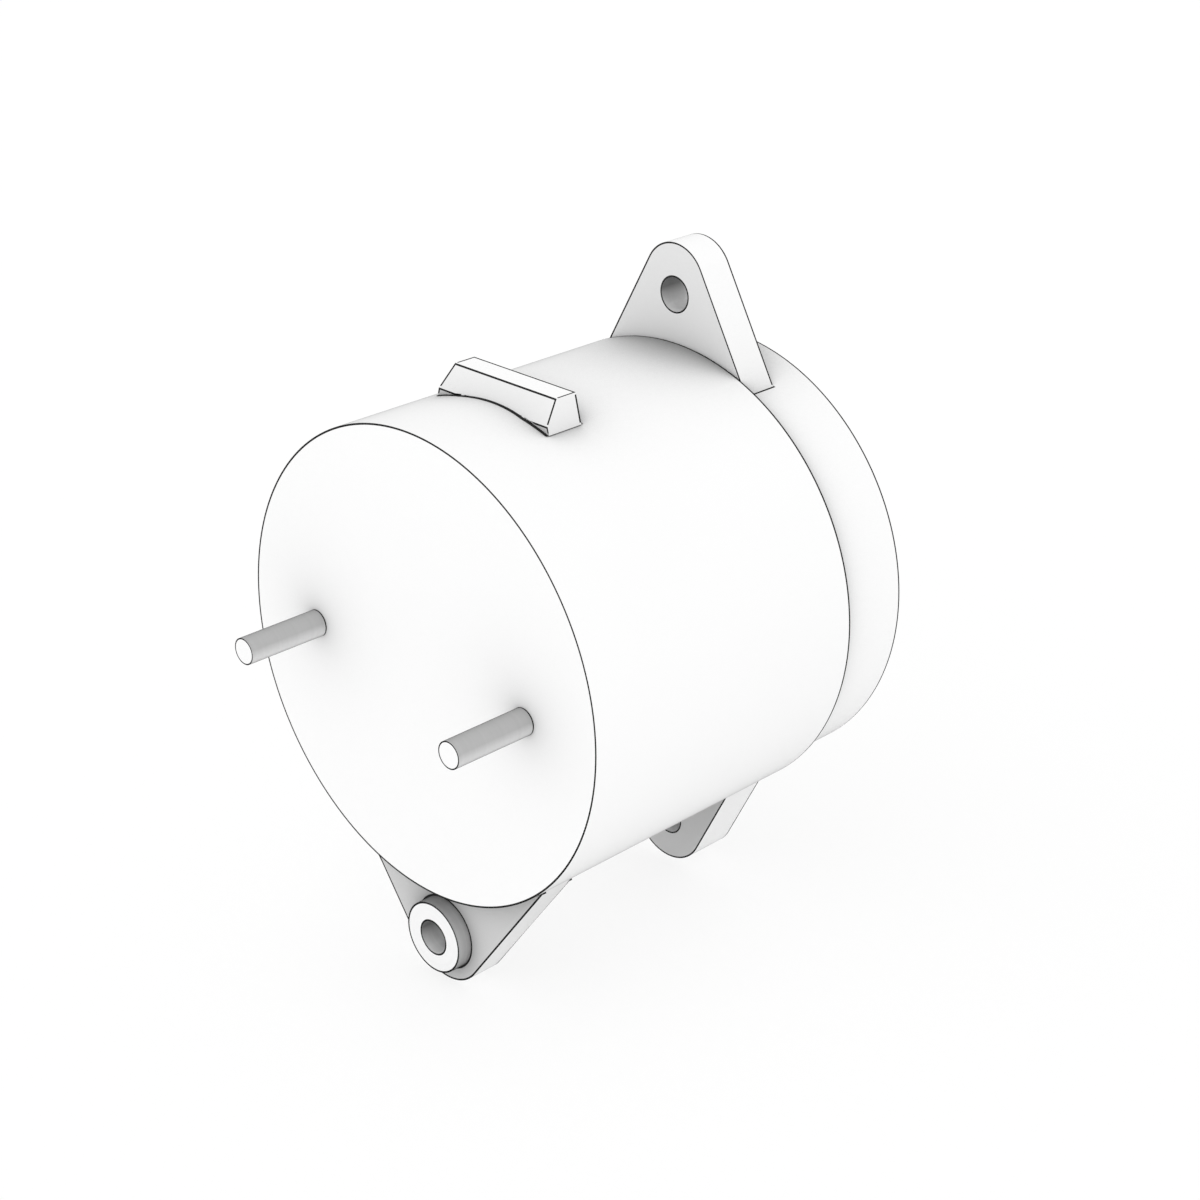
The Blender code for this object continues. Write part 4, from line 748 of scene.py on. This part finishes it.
def make_rear_housing():
    """The deep cup with its closed end, rear foot, stud holes and brush slot."""
    rim = HOUSING_LENGTH - GAP
    shoulder = STATOR_Y - GAP
    profile = [
        (0, 0),
        (HOUSING_RADIUS, 0),
        (HOUSING_RADIUS, rim),
        (STATOR_RADIUS + GAP, rim),
        (STATOR_RADIUS + GAP, shoulder),
        (CHAMBER_RADIUS, shoulder),
        (CHAMBER_RADIUS, END_WALL),
        (0, END_WALL),
    ]
    housing = turned_object("housing_shell", profile, LARGE_SIDES)
    bm = bmesh.new()
    root = HOUSING_RADIUS - LUG_ROOT_DEPTH
    outline = lug_outline(FOOT_DROP, REAR_FOOT_TIP_RADIUS, REAR_FOOT_ROOT_ANGLE, root, -1)
    foot_end = REAR_FOOT_Y + REAR_FOOT_THICKNESS
    add_plate(bm, outline, REAR_FOOT_Y, foot_end)
    combine(housing, "UNION", bm)

    bm = bmesh.new()
    for side in (-1, 1):
        add_cylinder(bm, STUD_RADIUS + FIT, -END_WALL, 2 * END_WALL, side * STUD_OFFSET, 0)
    bush_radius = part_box("pivot_bush")[1].x
    add_cylinder(bm, bush_radius + FIT, 0, 2 * foot_end, 0, -FOOT_DROP, MEDIUM_SIDES)
    cover_low, cover_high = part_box("brush_cover")
    wall = COVER_TOP_SETBACK / 4
    low = (-BRUSH_SLOT_HALF_WIDTH, cover_low.y + wall, STUD_OFFSET)
    high = (BRUSH_SLOT_HALF_WIDTH, cover_high.y - wall, 2 * HOUSING_RADIUS)
    add_box(bm, low, high)
    combine(housing, "DIFFERENCE", bm)
    tidy(housing)

    # The closed end takes the end paint and the foot's flat faces the darker foot paint, which is painted
    # shade
    def rule(centre, normal):
        radius = math.hypot(centre.x, centre.z)
        if centre.y < GAP and radius < HOUSING_RADIUS:
            return 1
        return 2 if radius > HOUSING_RADIUS + GAP and is_end(normal) else 0

    split_materials(housing, rule)
    finishes = [PAINT, END_PAINT, FOOT_SHADED_PAINT]
    finish_piece(housing, "housing", ["rear_housing"], finishes)
    round_normals(housing, HOUSING_RADIUS)
    # Each stud has a line round its foot, so its hole needs none
    for face in housing.data.polygons:
        beside = math.hypot(abs(face.center.x) - STUD_OFFSET, face.center.z)
        if face.center.y < GAP and beside < STUD_RADIUS + LINE_WIDTH:
            face.material_index = 1


def window_outline(index):
    """A vent window between two spokes of the bracket, as (x, z)."""
    middle = math.tau * (index + 0.5) / WINDOW_COUNT
    pitch = math.pi / WINDOW_COUNT
    near_half = pitch - math.asin(SPOKE_WIDTH / 2 / WINDOW_INNER_RADIUS)
    far_half = pitch - math.asin(SPOKE_WIDTH / 2 / WINDOW_OUTER_RADIUS)
    far = arc((0, 0), WINDOW_OUTER_RADIUS, middle - far_half, middle + far_half, SHORT_ARC_STEPS)
    near = arc((0, 0), WINDOW_INNER_RADIUS, middle + near_half, middle - near_half, SHORT_ARC_STEPS)
    return far + near


def make_bracket():
    """The band and end face with bearing hub, bolt bosses, vent windows, top lug and front foot."""
    start = HOUSING_LENGTH
    spigot_bore = STATOR_RADIUS - SPIGOT_WALL
    band_bore = BRACKET_RADIUS - BAND_WALL
    floor = FACE_Y - BEARING_LIP
    profile = [
        (spigot_bore, STATOR_END_Y + GAP),
        (STATOR_RADIUS, STATOR_END_Y + GAP),
        (STATOR_RADIUS, start),
        (BRACKET_RADIUS, start),
        (BRACKET_RADIUS, FACE_Y),
        (SHAFT_HOLE_RADIUS, FACE_Y),
        (SHAFT_HOLE_RADIUS, floor + INNER_RACE_RELIEF),
        (BEARING_LIP_RADIUS, floor + INNER_RACE_RELIEF),
        (BEARING_LIP_RADIUS, floor),
        (BEARING_POCKET_RADIUS, floor),
        (BEARING_POCKET_RADIUS, FRONT_BEARING_Y),
        (HUB_RADIUS, FRONT_BEARING_Y),
        (HUB_RADIUS, FACE_Y - FACE_WALL),
        (band_bore, FACE_Y - FACE_WALL),
        (band_bore, start + BAND_WALL),
        (spigot_bore, start),
    ]
    bracket = turned_object("bracket_casting", profile, LARGE_SIDES)
    root = BRACKET_RADIUS - LUG_ROOT_DEPTH
    bm = bmesh.new()
    top = lug_outline(TOP_LUG_TIP_HEIGHT, TOP_LUG_TIP_RADIUS, TOP_LUG_ROOT_ANGLE, root, 1)
    add_plate(bm, top, start, start + TOP_LUG_THICKNESS)
    low = lug_outline(FOOT_DROP, FRONT_FOOT_TIP_RADIUS, FRONT_FOOT_ROOT_ANGLE, root, -1)
    add_plate(bm, low, start + GAP, start + FRONT_FOOT_THICKNESS)
    combine(bracket, "UNION", bm)

    bm = bmesh.new()
    for x, z in bolt_places():
        add_cylinder(bm, BOLT_BOSS_RADIUS, start + GAP, FACE_Y - FACE_WALL / 2, x, z)
    combine(bracket, "UNION", bm)

    bm = bmesh.new()
    for height in (TOP_LUG_HOLE_HEIGHT, -FOOT_DROP):
        add_cylinder(bm, LUG_BOLT_RADIUS, STATOR_END_Y, FACE_Y + FACE_WALL, 0, height)
    for x, z in bolt_places():
        add_cylinder(bm, BOLT_RADIUS + GAP, STATOR_Y, FACE_Y + FACE_WALL, x, z)
    combine(bracket, "DIFFERENCE", bm)

    bm = bmesh.new()
    seat = FACE_Y - BOLT_HEAD_HEIGHT - 2 * GAP
    for x, z in bolt_places():
        add_cylinder(bm, BOLT_HEAD_RADIUS + GAP, seat, FACE_Y + FACE_WALL, x, z)
    for index in range(WINDOW_COUNT):
        add_plate(bm, window_outline(index), FACE_Y - 2 * FACE_WALL, FACE_Y + FACE_WALL)
    combine(bracket, "DIFFERENCE", bm)
    tidy(bracket)

    # The lug bores take the bore finish; the band's step and the top lug's flat faces take the darker lug
    # paint and the front foot's the darker foot paint, both painted shade
    def rule(centre, normal):
        for height in (TOP_LUG_HOLE_HEIGHT, -FOOT_DROP):
            if math.hypot(centre.x, centre.z - height) < LUG_BOLT_RADIUS and not is_end(normal):
                return 1
        if is_end(normal) and abs(centre.y - start) < GAP / 2:
            return 2
        if is_end(normal) and math.hypot(centre.x, centre.z) > BRACKET_RADIUS + GAP:
            return 2 if centre.z > 0 else 3
        return 0

    split_materials(bracket, rule)
    finishes = [PAINT, BORE, LUG_SHADED_PAINT, FOOT_SHADED_PAINT]
    nodes = ["drive_end_bracket"]
    finish_piece(bracket, "housing", nodes, finishes, BRACKET_LINE_WIDTH)
    round_normals(bracket, BRACKET_RADIUS)


# Terminals, bush and cover


def make_studs():
    """The two terminals, each with a dark line round the place where it leaves the housing."""
    for name, side in (("output", 1), ("ground", -1)):
        low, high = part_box(f"{name}_stud")
        head = high.y - STUD_HEAD_HEIGHT
        x = side * STUD_OFFSET
        profile = [
            (0, low.y),
            (STUD_RADIUS, low.y),
            (STUD_RADIUS, -STUD_LINE_WIDTH),
            (STUD_RADIUS, GAP),
            (STUD_RADIUS, head),
            (STUD_HEAD_RADIUS, head),
            (STUD_HEAD_RADIUS, high.y),
            (0, high.y),
        ]
        stud = turned_object(f"{name}_terminal", profile, MEDIUM_SIDES, x)

        def rule(centre, normal):
            if is_end(normal):
                return 1
            return 2 if -STUD_LINE_WIDTH < centre.y < GAP else 0

        split_materials(stud, rule)
        finishes = [stud_material(f"{name}_stud_plating", x), STUD_END]
        nodes = [f"{name}_stud"]
        finish_piece(stud, "housing", nodes, finishes, STUD_LINE_WIDTH)


def make_bush():
    """The round bush that slides in the rear foot."""
    low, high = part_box("pivot_bush")
    profile = [
        (LUG_BOLT_RADIUS, low.y),
        (high.x, low.y),
        (high.x, high.y),
        (LUG_BOLT_RADIUS, high.y),
    ]
    bush = turned_object("foot_bush", profile, MEDIUM_SIDES, 0, -FOOT_DROP)

    def rule(centre, normal):
        if is_end(normal):
            return 1
        return 2 if math.hypot(centre.x, centre.z + FOOT_DROP) < (LUG_BOLT_RADIUS + high.x) / 2 else 0

    split_materials(bush, rule)
    finish_piece(bush, "bush", ["pivot_bush"], [BUSH_SIDE, BUSH_END, BORE])


def cover_block(low, high, grow):
    """The cover's outer shape: a trapezoid along X with a leaning front, grown by a margin."""
    half = COVER_TOP_WIDTH / 2 + grow
    base_half = half + (high.z - low.z) * COVER_END_SLOPE
    front = low.y - grow
    rear = high.y + grow
    bm = bmesh.new()
    ends = [(-base_half, low.z), (base_half, low.z), (half, high.z), (-half, high.z)]
    add_plate(bm, ends, front, rear)
    block = object_of(bm, "block")
    section = [
        (front, low.z - GAP),
        (front, high.z - COVER_FRONT_DROP),
        (front + COVER_TOP_SETBACK, high.z),
        (front + COVER_TOP_SETBACK, high.z + GAP),
        (rear + GAP, high.z + GAP),
        (rear + GAP, low.z - GAP),
    ]
    bm = bmesh.new()
    add_plate(bm, section, -base_half - GAP, base_half + GAP)
    # The section is drawn across X, so its two level directions change places
    for vert in bm.verts:
        vert.co = vert.co.yxz
    bmesh.ops.reverse_faces(bm, faces=bm.faces)
    combine(block, "INTERSECT", bm)
    bm = bmesh.new()
    bm.from_mesh(block.data)
    bpy.data.objects.remove(block)
    return bm


def make_cover():
    """The trapezoid cover, hollowed to the round of the housing, and the dark lip of its gasket."""
    low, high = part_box("brush_cover")
    cover = object_of(cover_block(low, high, 0), "brush_gear_cover")
    bm = bmesh.new()
    add_cylinder(bm, HOUSING_RADIUS - FIT, 0, 2 * high.y, 0, 0, 2 * LARGE_SIDES)
    combine(cover, "DIFFERENCE", bm)
    tidy(cover)
    finish_piece(cover, "housing", ["brush_cover"], [COVER_PAINT])
    # The gasket's lip is the line along the cover's base, so the base needs no other
    for face in cover.data.polygons:
        if math.hypot(face.center.x, face.center.z) < HOUSING_RADIUS + LINE_WIDTH:
            face.material_index = 0

    lip = object_of(cover_block(low, high, GASKET_LIP), "lip")
    bm = bmesh.new()
    inner = HOUSING_RADIUS - FIT
    outer = HOUSING_RADIUS + GASKET_THICKNESS
    add_turned(bm, [(inner, 0), (outer, 0), (outer, 2 * high.y), (inner, 2 * high.y)], 2 * LARGE_SIDES)
    combine(lip, "INTERSECT", bm)
    combine(lip, "DIFFERENCE", cover_block(low, high, 0))
    bm = bmesh.new()
    bm.from_mesh(cover.data)
    count = len(bm.faces)
    bm.from_mesh(lip.data)
    bm.faces.ensure_lookup_table()
    for face in bm.faces[count:]:
        face.material_index = 1
    bm.to_mesh(cover.data)
    bm.free()
    bpy.data.objects.remove(lip)


# Drive end


def make_screws():
    """The four through bolts, with hexagon sockets in their heads."""
    seat = FACE_Y - BOLT_HEAD_HEIGHT - GAP
    top = seat + BOLT_HEAD_HEIGHT
    for index, (x, z) in enumerate(bolt_places(), start=1):
        thread_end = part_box(f"through_bolt_{index}")[0].y
        profile = [
            (0, thread_end),
            (BOLT_RADIUS, thread_end),
            (BOLT_RADIUS, seat),
            (BOLT_HEAD_RADIUS, seat),
            (BOLT_HEAD_RADIUS, top - GAP),
            (BOLT_HEAD_RADIUS - GAP, top),
            (0, top),
        ]
        screw = turned_object(f"bracket_screw_{index}", profile, SMALL_SIDES, x, z)
        bm = bmesh.new()
        socket = hexagon((x, z), BOLT_SOCKET_WIDTH)
        add_plate(bm, socket, top - BOLT_SOCKET_DEPTH, top + BOLT_SOCKET_DEPTH)
        combine(screw, "DIFFERENCE", bm)
        tidy(screw)
        nodes = [f"through_bolt_{index}"]
        finish_piece(screw, "housing", nodes, [DARK], FINE_LINE_WIDTH)


def blade_strip(radius):
    """One fan blade seen along the shaft: a bent strip whose tip lies just inside the disc's rim."""
    points = [(0.0, 0.0)]
    step = FAN_BLADE_LENGTH / BLADE_STEPS
    for index in range(BLADE_STEPS):
        share = 2 * (index + 0.5) / BLADE_STEPS - 1
        dx, dz = polar(step, FAN_BLADE_SWEEP + share * FAN_BLADE_CURL)
        points.append((points[-1][0] + dx, points[-1][1] + dz))
    dx, dz = points[-1]
    inner = math.sqrt((radius - FAN_SHEET) ** 2 - dz ** 2) - dx
    near = []
    far = []
    for index, (x, z) in enumerate(points):
        lean = FAN_BLADE_SWEEP + (2 * index / BLADE_STEPS - 1) * FAN_BLADE_CURL
        across_x, across_z = polar(FAN_SHEET / 2, lean + math.pi / 2)
        near.append((inner + x - across_x, z - across_z))
        far.append((inner + x + across_x, z + across_z))
    return near + far[::-1], math.atan2(dz, inner + dx)


def make_fan():
    """The notched disc with its pressed rib and curved blades."""
    low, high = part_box("cooling_fan")
    start = high.y - FAN_SHEET
    rib = FAN_RIB_RADIUS
    profile = [
        (FAN_BORE, start),
        (high.x, start),
        (high.x, high.y),
        (rib + FAN_RIB_WIDTH, high.y),
        (rib + FAN_RIB_WIDTH / 2, high.y - FAN_RIB_DEPTH),
        (rib - FAN_RIB_WIDTH / 2, high.y - FAN_RIB_DEPTH),
        (rib - FAN_RIB_WIDTH, high.y),
        (FAN_BORE, high.y),
    ]
    fan = turned_object("fan_wheel", profile, LARGE_SIDES)
    strip, tip_angle = blade_strip(high.x)
    bm = bmesh.new()
    for index in range(FAN_BLADE_COUNT):
        turn = math.tau * index / FAN_BLADE_COUNT - tip_angle
        outline = [polar(math.hypot(x, z), math.atan2(z, x) + turn) for x, z in strip]
        add_plate(bm, outline, low.y, start + FAN_SHEET / 2)
    combine(fan, "UNION", bm)
    bm = bmesh.new()
    for index in range(FAN_BLADE_COUNT):
        x, z = polar(high.x, math.tau * (index + 0.5) / FAN_BLADE_COUNT)
        add_cylinder(bm, FAN_NOTCH_RADIUS, start - FAN_SHEET, high.y + FAN_SHEET, x, z)
    combine(fan, "DIFFERENCE", bm)
    tidy(fan)
    finish_piece(fan, "rotor", ["cooling_fan"], [PLATED], FINE_LINE_WIDTH)


def make_pulley():
    """The pulley with one belt groove, a dished front and a keyway."""
    low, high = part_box("drive_pulley")
    rim = high.x
    middle = (low.y + high.y) / 2
    dish = high.y - PULLEY_DISH_DEPTH
    soft = PULLEY_RIM_ROUND
    quarter = math.pi / 2
    profile = [(FAN_BORE, low.y)]
    profile += arc((rim - soft, low.y + soft), soft, -quarter, 0, ROUND_STEPS)
    profile += [
        (rim, middle - PULLEY_GROOVE_HALF_MOUTH),
        (PULLEY_GROOVE_RADIUS, middle - PULLEY_GROOVE_HALF_FLOOR),
        (PULLEY_GROOVE_RADIUS, middle + PULLEY_GROOVE_HALF_FLOOR),
        (rim, middle + PULLEY_GROOVE_HALF_MOUTH),
    ]
    profile += arc((rim - soft, high.y - soft), soft, 0, quarter, ROUND_STEPS)
    profile += [
        (PULLEY_DISH_RADIUS, high.y),
        (PULLEY_DISH_RADIUS, dish + soft),
    ]
    profile += arc((PULLEY_DISH_RADIUS - soft, dish + soft), soft, 0, -quarter, ROUND_STEPS)[1:]
    profile += [
        (PULLEY_HUB_RADIUS, dish),
        (PULLEY_HUB_RADIUS, high.y),
        (FAN_BORE, high.y),
    ]
    pulley = turned_object("belt_pulley", profile, LARGE_SIDES)
    bm = bmesh.new()
    key_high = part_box("pulley_key")[1].z
    add_box(bm, (-KEY_HALF_WIDTH, low.y - GAP, 0), (KEY_HALF_WIDTH, high.y + GAP, key_high + GAP))
    combine(pulley, "DIFFERENCE", bm)
    tidy(pulley)
    finish_piece(pulley, "rotor", ["drive_pulley"], [PULLEY], FINE_LINE_WIDTH)


def make_nut():
    """The hexagon nut on the shaft end, its corners rounded off at the front."""
    low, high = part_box("pulley_nut")
    corner = NUT_ACROSS_FLATS / 2 / math.cos(math.pi / 6)
    chamfer = corner - NUT_ACROSS_FLATS / 2
    bm = bmesh.new()
    add_plate(bm, hexagon((0, 0), NUT_ACROSS_FLATS), low.y, high.y)
    nut = object_of(bm, "shaft_nut")
    bm = bmesh.new()
    slope = chamfer * math.tan(NUT_CHAMFER_ANGLE)
    barrel = [
        (NUT_BORE, low.y - GAP),
        (corner + GAP, low.y - GAP),
        (corner + GAP, high.y - slope),
        (NUT_ACROSS_FLATS / 2, high.y),
        (NUT_ACROSS_FLATS / 2, high.y + GAP),
        (NUT_BORE + chamfer / 2, high.y + GAP),
        (NUT_BORE + chamfer / 2, high.y),
        (NUT_BORE, high.y - chamfer / 2),
    ]
    add_turned(bm, barrel, MEDIUM_SIDES)
    combine(nut, "INTERSECT", bm)
    tidy(nut)
    finish_piece(nut, "rotor", ["pulley_nut"], [PLATED], None)


def make_washers():
    """The washer under the nut and the sleeve behind the fan."""
    pieces = (
        ("nut_washer", "pulley_washer", NUT_BORE, PLATED),
        ("fan_sleeve", "fan_spacer", FAN_BORE, TURNED),
    )
    for name, node, bore, finish in pieces:
        low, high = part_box(node)
        profile = [
            (bore, low.y),
            (high.x - GAP, low.y),
            (high.x, low.y + GAP),
            (high.x, high.y - GAP),
            (high.x - GAP, high.y),
            (bore, high.y),
        ]
        piece = turned_object(name, profile, MEDIUM_SIDES)
        finish_piece(piece, "rotor", [node], [finish], FINE_LINE_WIDTH)


def make_spindle():
    """The stepped shaft with its keyway, a screw thread under the nut and a socket in its end."""
    low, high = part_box("rotor_shaft")
    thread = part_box("pulley_washer")[0].y
    ring_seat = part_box("slip_ring_hub")[0].y - GAP
    rotor_seat = ROTOR_Y - GAP
    collar = ROTOR_END_Y + GAP
    profile = [
        (0, low.y),
        (REAR_JOURNAL_RADIUS, low.y),
        (REAR_JOURNAL_RADIUS, ring_seat),
        (RING_SEAT_RADIUS, ring_seat),
        (RING_SEAT_RADIUS, rotor_seat),
        (ROTOR_JOURNAL_RADIUS, rotor_seat),
        (ROTOR_JOURNAL_RADIUS, collar),
        (FRONT_JOURNAL_RADIUS, collar),
        (FRONT_JOURNAL_RADIUS, thread),
    ]
    end = high.y - SHAFT_CHAMFER
    steps = round((end - thread) / THREAD_PITCH * THREAD_STEPS_PER_TURN)
    for step in range(steps + 1):
        profile.append((THREAD_RADIUS, thread + (end - thread) * step / steps))
    profile += [(THREAD_RADIUS - SHAFT_CHAMFER, high.y), (0, high.y)]
    bm = bmesh.new()
    add_turned(bm, profile, MEDIUM_SIDES)
    for vert in bm.verts:
        if thread + GAP < vert.co.y < end + GAP:
            turn = math.atan2(vert.co.z, vert.co.x) / math.tau
            wave = ((vert.co.y - thread) / THREAD_PITCH - turn) % 1
            depth = THREAD_DEPTH * (1 - abs(2 * wave - 1))
            vert.co.x *= 1 - depth / THREAD_RADIUS
            vert.co.z *= 1 - depth / THREAD_RADIUS
    spindle = object_of(bm, "rotor_spindle")
    bm = bmesh.new()
    depth = SHAFT_SOCKET_DEPTH
    add_plate(bm, hexagon((0, 0), SHAFT_SOCKET_WIDTH), high.y - depth, high.y + depth)
    key_low, key_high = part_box("pulley_key")
    box_low = (-KEY_HALF_WIDTH, key_low.y - GAP, KEY_FLOOR)
    add_box(bm, box_low, (KEY_HALF_WIDTH, key_high.y + GAP, key_high.z))
    combine(spindle, "DIFFERENCE", bm)
    finish_piece(spindle, "rotor", ["rotor_shaft"], [GROUND], None)


# Rotor claws and stator winding, seen through the windows


def make_claws(name, node, outer_face, direction, turn):
    """Half of the rotor: a disc with tapered claws that reach over the field coil."""
    length = ROTOR_END_Y - ROTOR_Y
    tip = length - CLAW_SETBACK
    middle = length / 2 - GAP / 2
    depths = [
        (ROTOR_SEAT_RADIUS, 0),
        (ROTOR_RADIUS - CLAW_CHAMFER, 0),
        (ROTOR_RADIUS, CLAW_CHAMFER),
        (ROTOR_RADIUS, tip),
        (ROTOR_RADIUS - CLAW_TIP_THICKNESS, tip),
        (CLAW_INNER_RADIUS, POLE_DISC),
        (POLE_HUB_RADIUS, POLE_DISC),
        (POLE_HUB_RADIUS, middle),
        (ROTOR_SEAT_RADIUS, middle),
    ]
    claws = turned_object(name, [(r, outer_face + direction * d) for r, d in depths], LARGE_SIDES)
    half_pitch = math.pi / CLAW_COUNT
    inner = POLE_HUB_RADIUS + CLAW_ROOT_THICKNESS / 2
    outer = ROTOR_RADIUS + CLAW_ROOT_THICKNESS
    # What is cut away between the claws is a wedge, wider at the tips
    bm = bmesh.new()
    for index in range(CLAW_COUNT):
        verts = bmesh.ops.create_cube(bm, size=2)["verts"]
        for vert in verts:
            at_tip = vert.co.y > 0
            radius = outer if vert.co.x > 0 else inner
            claw = CLAW_TIP_HALF_ANGLE if at_tip else CLAW_ROOT_HALF_ANGLE
            width = radius * math.tan(half_pitch - claw) * (1 if vert.co.z > 0 else -1)
            depth = tip + CLAW_SETBACK if at_tip else -CLAW_SETBACK
            vert.co = (radius, outer_face + direction * depth, width)
        place = Matrix.Rotation(-(turn + half_pitch * (2 * index + 1)), 4, "Y")
        bmesh.ops.transform(bm, matrix=place, verts=verts)
    bmesh.ops.recalc_face_normals(bm, faces=bm.faces)
    combine(claws, "DIFFERENCE", bm)
    tidy(claws)
    finish_piece(claws, "rotor", [node], [TURNED], FINE_LINE_WIDTH)


def end_turn_path(slot, layer, base, reach):
    """A wire that leaves one slot, leans over the core and enters the slot a pole further on."""
    inner = STATOR_BORE + 2 * WIRE_RADIUS
    outer = SLOT_RADIUS - 2 * WIRE_RADIUS
    depth = layer / (WIRE_LAYERS - 1)
    radius = inner + (outer - inner) * depth
    height = reach * (INNER_WIRE_REACH + (1 - INNER_WIRE_REACH) * depth)
    height -= math.copysign(WIRE_RADIUS, reach)
    points = []
    for step in range(WIRE_STEPS + 1):
        share = step / WIRE_STEPS
        angle = (slot + SLOTS_PER_POLE * share) * SLOT_PITCH
        lift = math.sin(math.pi * share) ** END_TURN_FULLNESS
        x, z = polar(radius, angle)
        points.append(Vector((x, base + height * lift, z)))
    return points


def make_winding():
    """Bars in the slots of the core and bundles of wire that arch over both of its ends."""
    low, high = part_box("stator_winding")
    bm = bmesh.new()
    for slot in range(SLOT_COUNT):
        for layer in range(WIRE_LAYERS):
            for base, end in ((STATOR_Y, low.y), (STATOR_END_Y, high.y)):
                add_tube(bm, end_turn_path(slot, layer, base, end - base), WIRE_RADIUS, WIRE_SIDES)
        bar_low = (STATOR_BORE + WIRE_RADIUS, STATOR_Y - WIRE_RADIUS, -SLOT_HALF_WIDTH)
        bar_high = (SLOT_RADIUS - WIRE_RADIUS, STATOR_END_Y + WIRE_RADIUS, SLOT_HALF_WIDTH)
        add_box(bm, bar_low, bar_high, slot * SLOT_PITCH)
    winding = object_of(bm, "winding_coils")
    finish_piece(winding, "housing", ["stator_winding"], [COPPER], None)


make_rear_housing()
make_bracket()
make_studs()
make_bush()
make_cover()
make_screws()
make_fan()
make_pulley()
make_nut()
make_washers()
make_spindle()
make_claws("rear_rotor_claws", "rear_claw_pole", ROTOR_Y, 1, 0)
make_claws("front_rotor_claws", "front_claw_pole", ROTOR_END_Y, -1, math.pi / CLAW_COUNT)
make_winding()

# Finishes of the CAD pieces that stay, by a word in their names
FINISHES = {
    "stator_core": LAMINATION,
    "field_coil": COPPER,
    "field_bobbin": NATURAL,
    "slip_ring_hub": BLACK,
    "slip_ring": COPPER,
    "insulator": NATURAL,
    "heat_sink": ALUMINIUM,
    "brush_holder": BLACK,
    "brush_1": CARBON,
    "brush_2": CARBON,
    "regulator": BLACK,
    "diode": PLATED,
    "retainer_screw": DARK,
}


def finish_of(name):
    for word, material in FINISHES.items():
        if word in name:
            return material
    return GROUND


for name, node in NODES.items():
    node.data.materials.clear()
    node.data.materials.append(finish_of(name))


# Floor, light and camera


def calculate(tree, operation, first, second):
    """The result of a sum on two inputs, each a plain number or another node's output."""
    node = tree.nodes.new("ShaderNodeMath")
    node.operation = operation
    for socket, value in zip(node.inputs, (first, second)):
        if isinstance(value, float):
            socket.default_value = value
        else:
            link(tree, value, socket)
    return node.outputs["Value"]


def mix_shaders(tree, factor, first, second):
    node = tree.nodes.new("ShaderNodeMixShader")
    link(tree, factor, node.inputs["Fac"])
    link(tree, first, node.inputs[1])
    link(tree, second, node.inputs[2])
    return node.outputs["Shader"]


def make_floor():
    """A white light table: it glows faintly and looks white, keeps shadows and is clear from below."""
    bm = bmesh.new()
    bmesh.ops.create_grid(bm, x_segments=1, y_segments=1, size=FLOOR_HALF_SIZE)
    floor = object_of(bm, "floor")
    floor.location.z = CAD_BOX[0][2]
    material, tree, shader = new_material("pale_floor")
    shader.inputs["Base Color"].default_value = (FLOOR_TONE, FLOOR_TONE, FLOOR_TONE, 1)
    shader.inputs["Roughness"].default_value = 1.0
    shader.inputs["Specular IOR Level"].default_value = 0.0
    glow = tree.nodes.new("ShaderNodeEmission")
    glow.inputs["Strength"].default_value = 1.0
    path = tree.nodes.new("ShaderNodeLightPath")
    mirrored = calculate(tree, "ADD", path.outputs["Is Glossy Ray"], path.outputs["Is Transmission Ray"])
    seen = calculate(tree, "MAXIMUM", path.outputs["Is Camera Ray"], mirrored)
    share = calculate(tree, "ADD", calculate(tree, "MULTIPLY", seen, SEEN_GLOW), FLOOR_GLOW)
    table = mix_shaders(tree, share, shader.outputs["BSDF"], glow.outputs["Emission"])
    clear = tree.nodes.new("ShaderNodeBsdfTransparent")
    below = tree.nodes.new("ShaderNodeNewGeometry").outputs["Backfacing"]
    surface = mix_shaders(tree, below, table, clear.outputs["BSDF"])
    link(tree, surface, tree.nodes["Material Output"].inputs["Surface"])
    floor.data.materials.append(material)
    floor.visible_shadow = False


def make_world():
    """Even white light from all round."""
    world = bpy.data.worlds.new("studio")
    bpy.context.scene.world = world
    world.use_nodes = True
    background = world.node_tree.nodes["Background"]
    background.inputs["Color"].default_value = (1, 1, 1, 1)
    background.inputs["Strength"].default_value = SKY_STRENGTH


def make_camera():
    """The photograph's view: from behind the closed end, to the right and a little above."""
    camera = bpy.data.objects.new("camera", bpy.data.cameras.new("camera"))
    bpy.context.scene.collection.objects.link(camera)
    camera.location = CAMERA_PLACE
    x, y = polar(math.cos(CAMERA_ELEVATION), CAMERA_AZIMUTH - math.pi / 2)
    back = Vector((x, y, math.sin(CAMERA_ELEVATION)))
    camera.rotation_euler = back.to_track_quat("Z", "Y").to_euler()
    camera.data.sensor_width = CAMERA_SENSOR
    camera.data.lens = CAMERA_LENS
    camera.data.clip_start = NEAREST_SEEN
    camera.data.clip_end = FURTHEST_SEEN
    bpy.context.scene.camera = camera


make_floor()
make_world()
make_camera()

bpy.context.scene.view_settings.view_transform = "Standard"
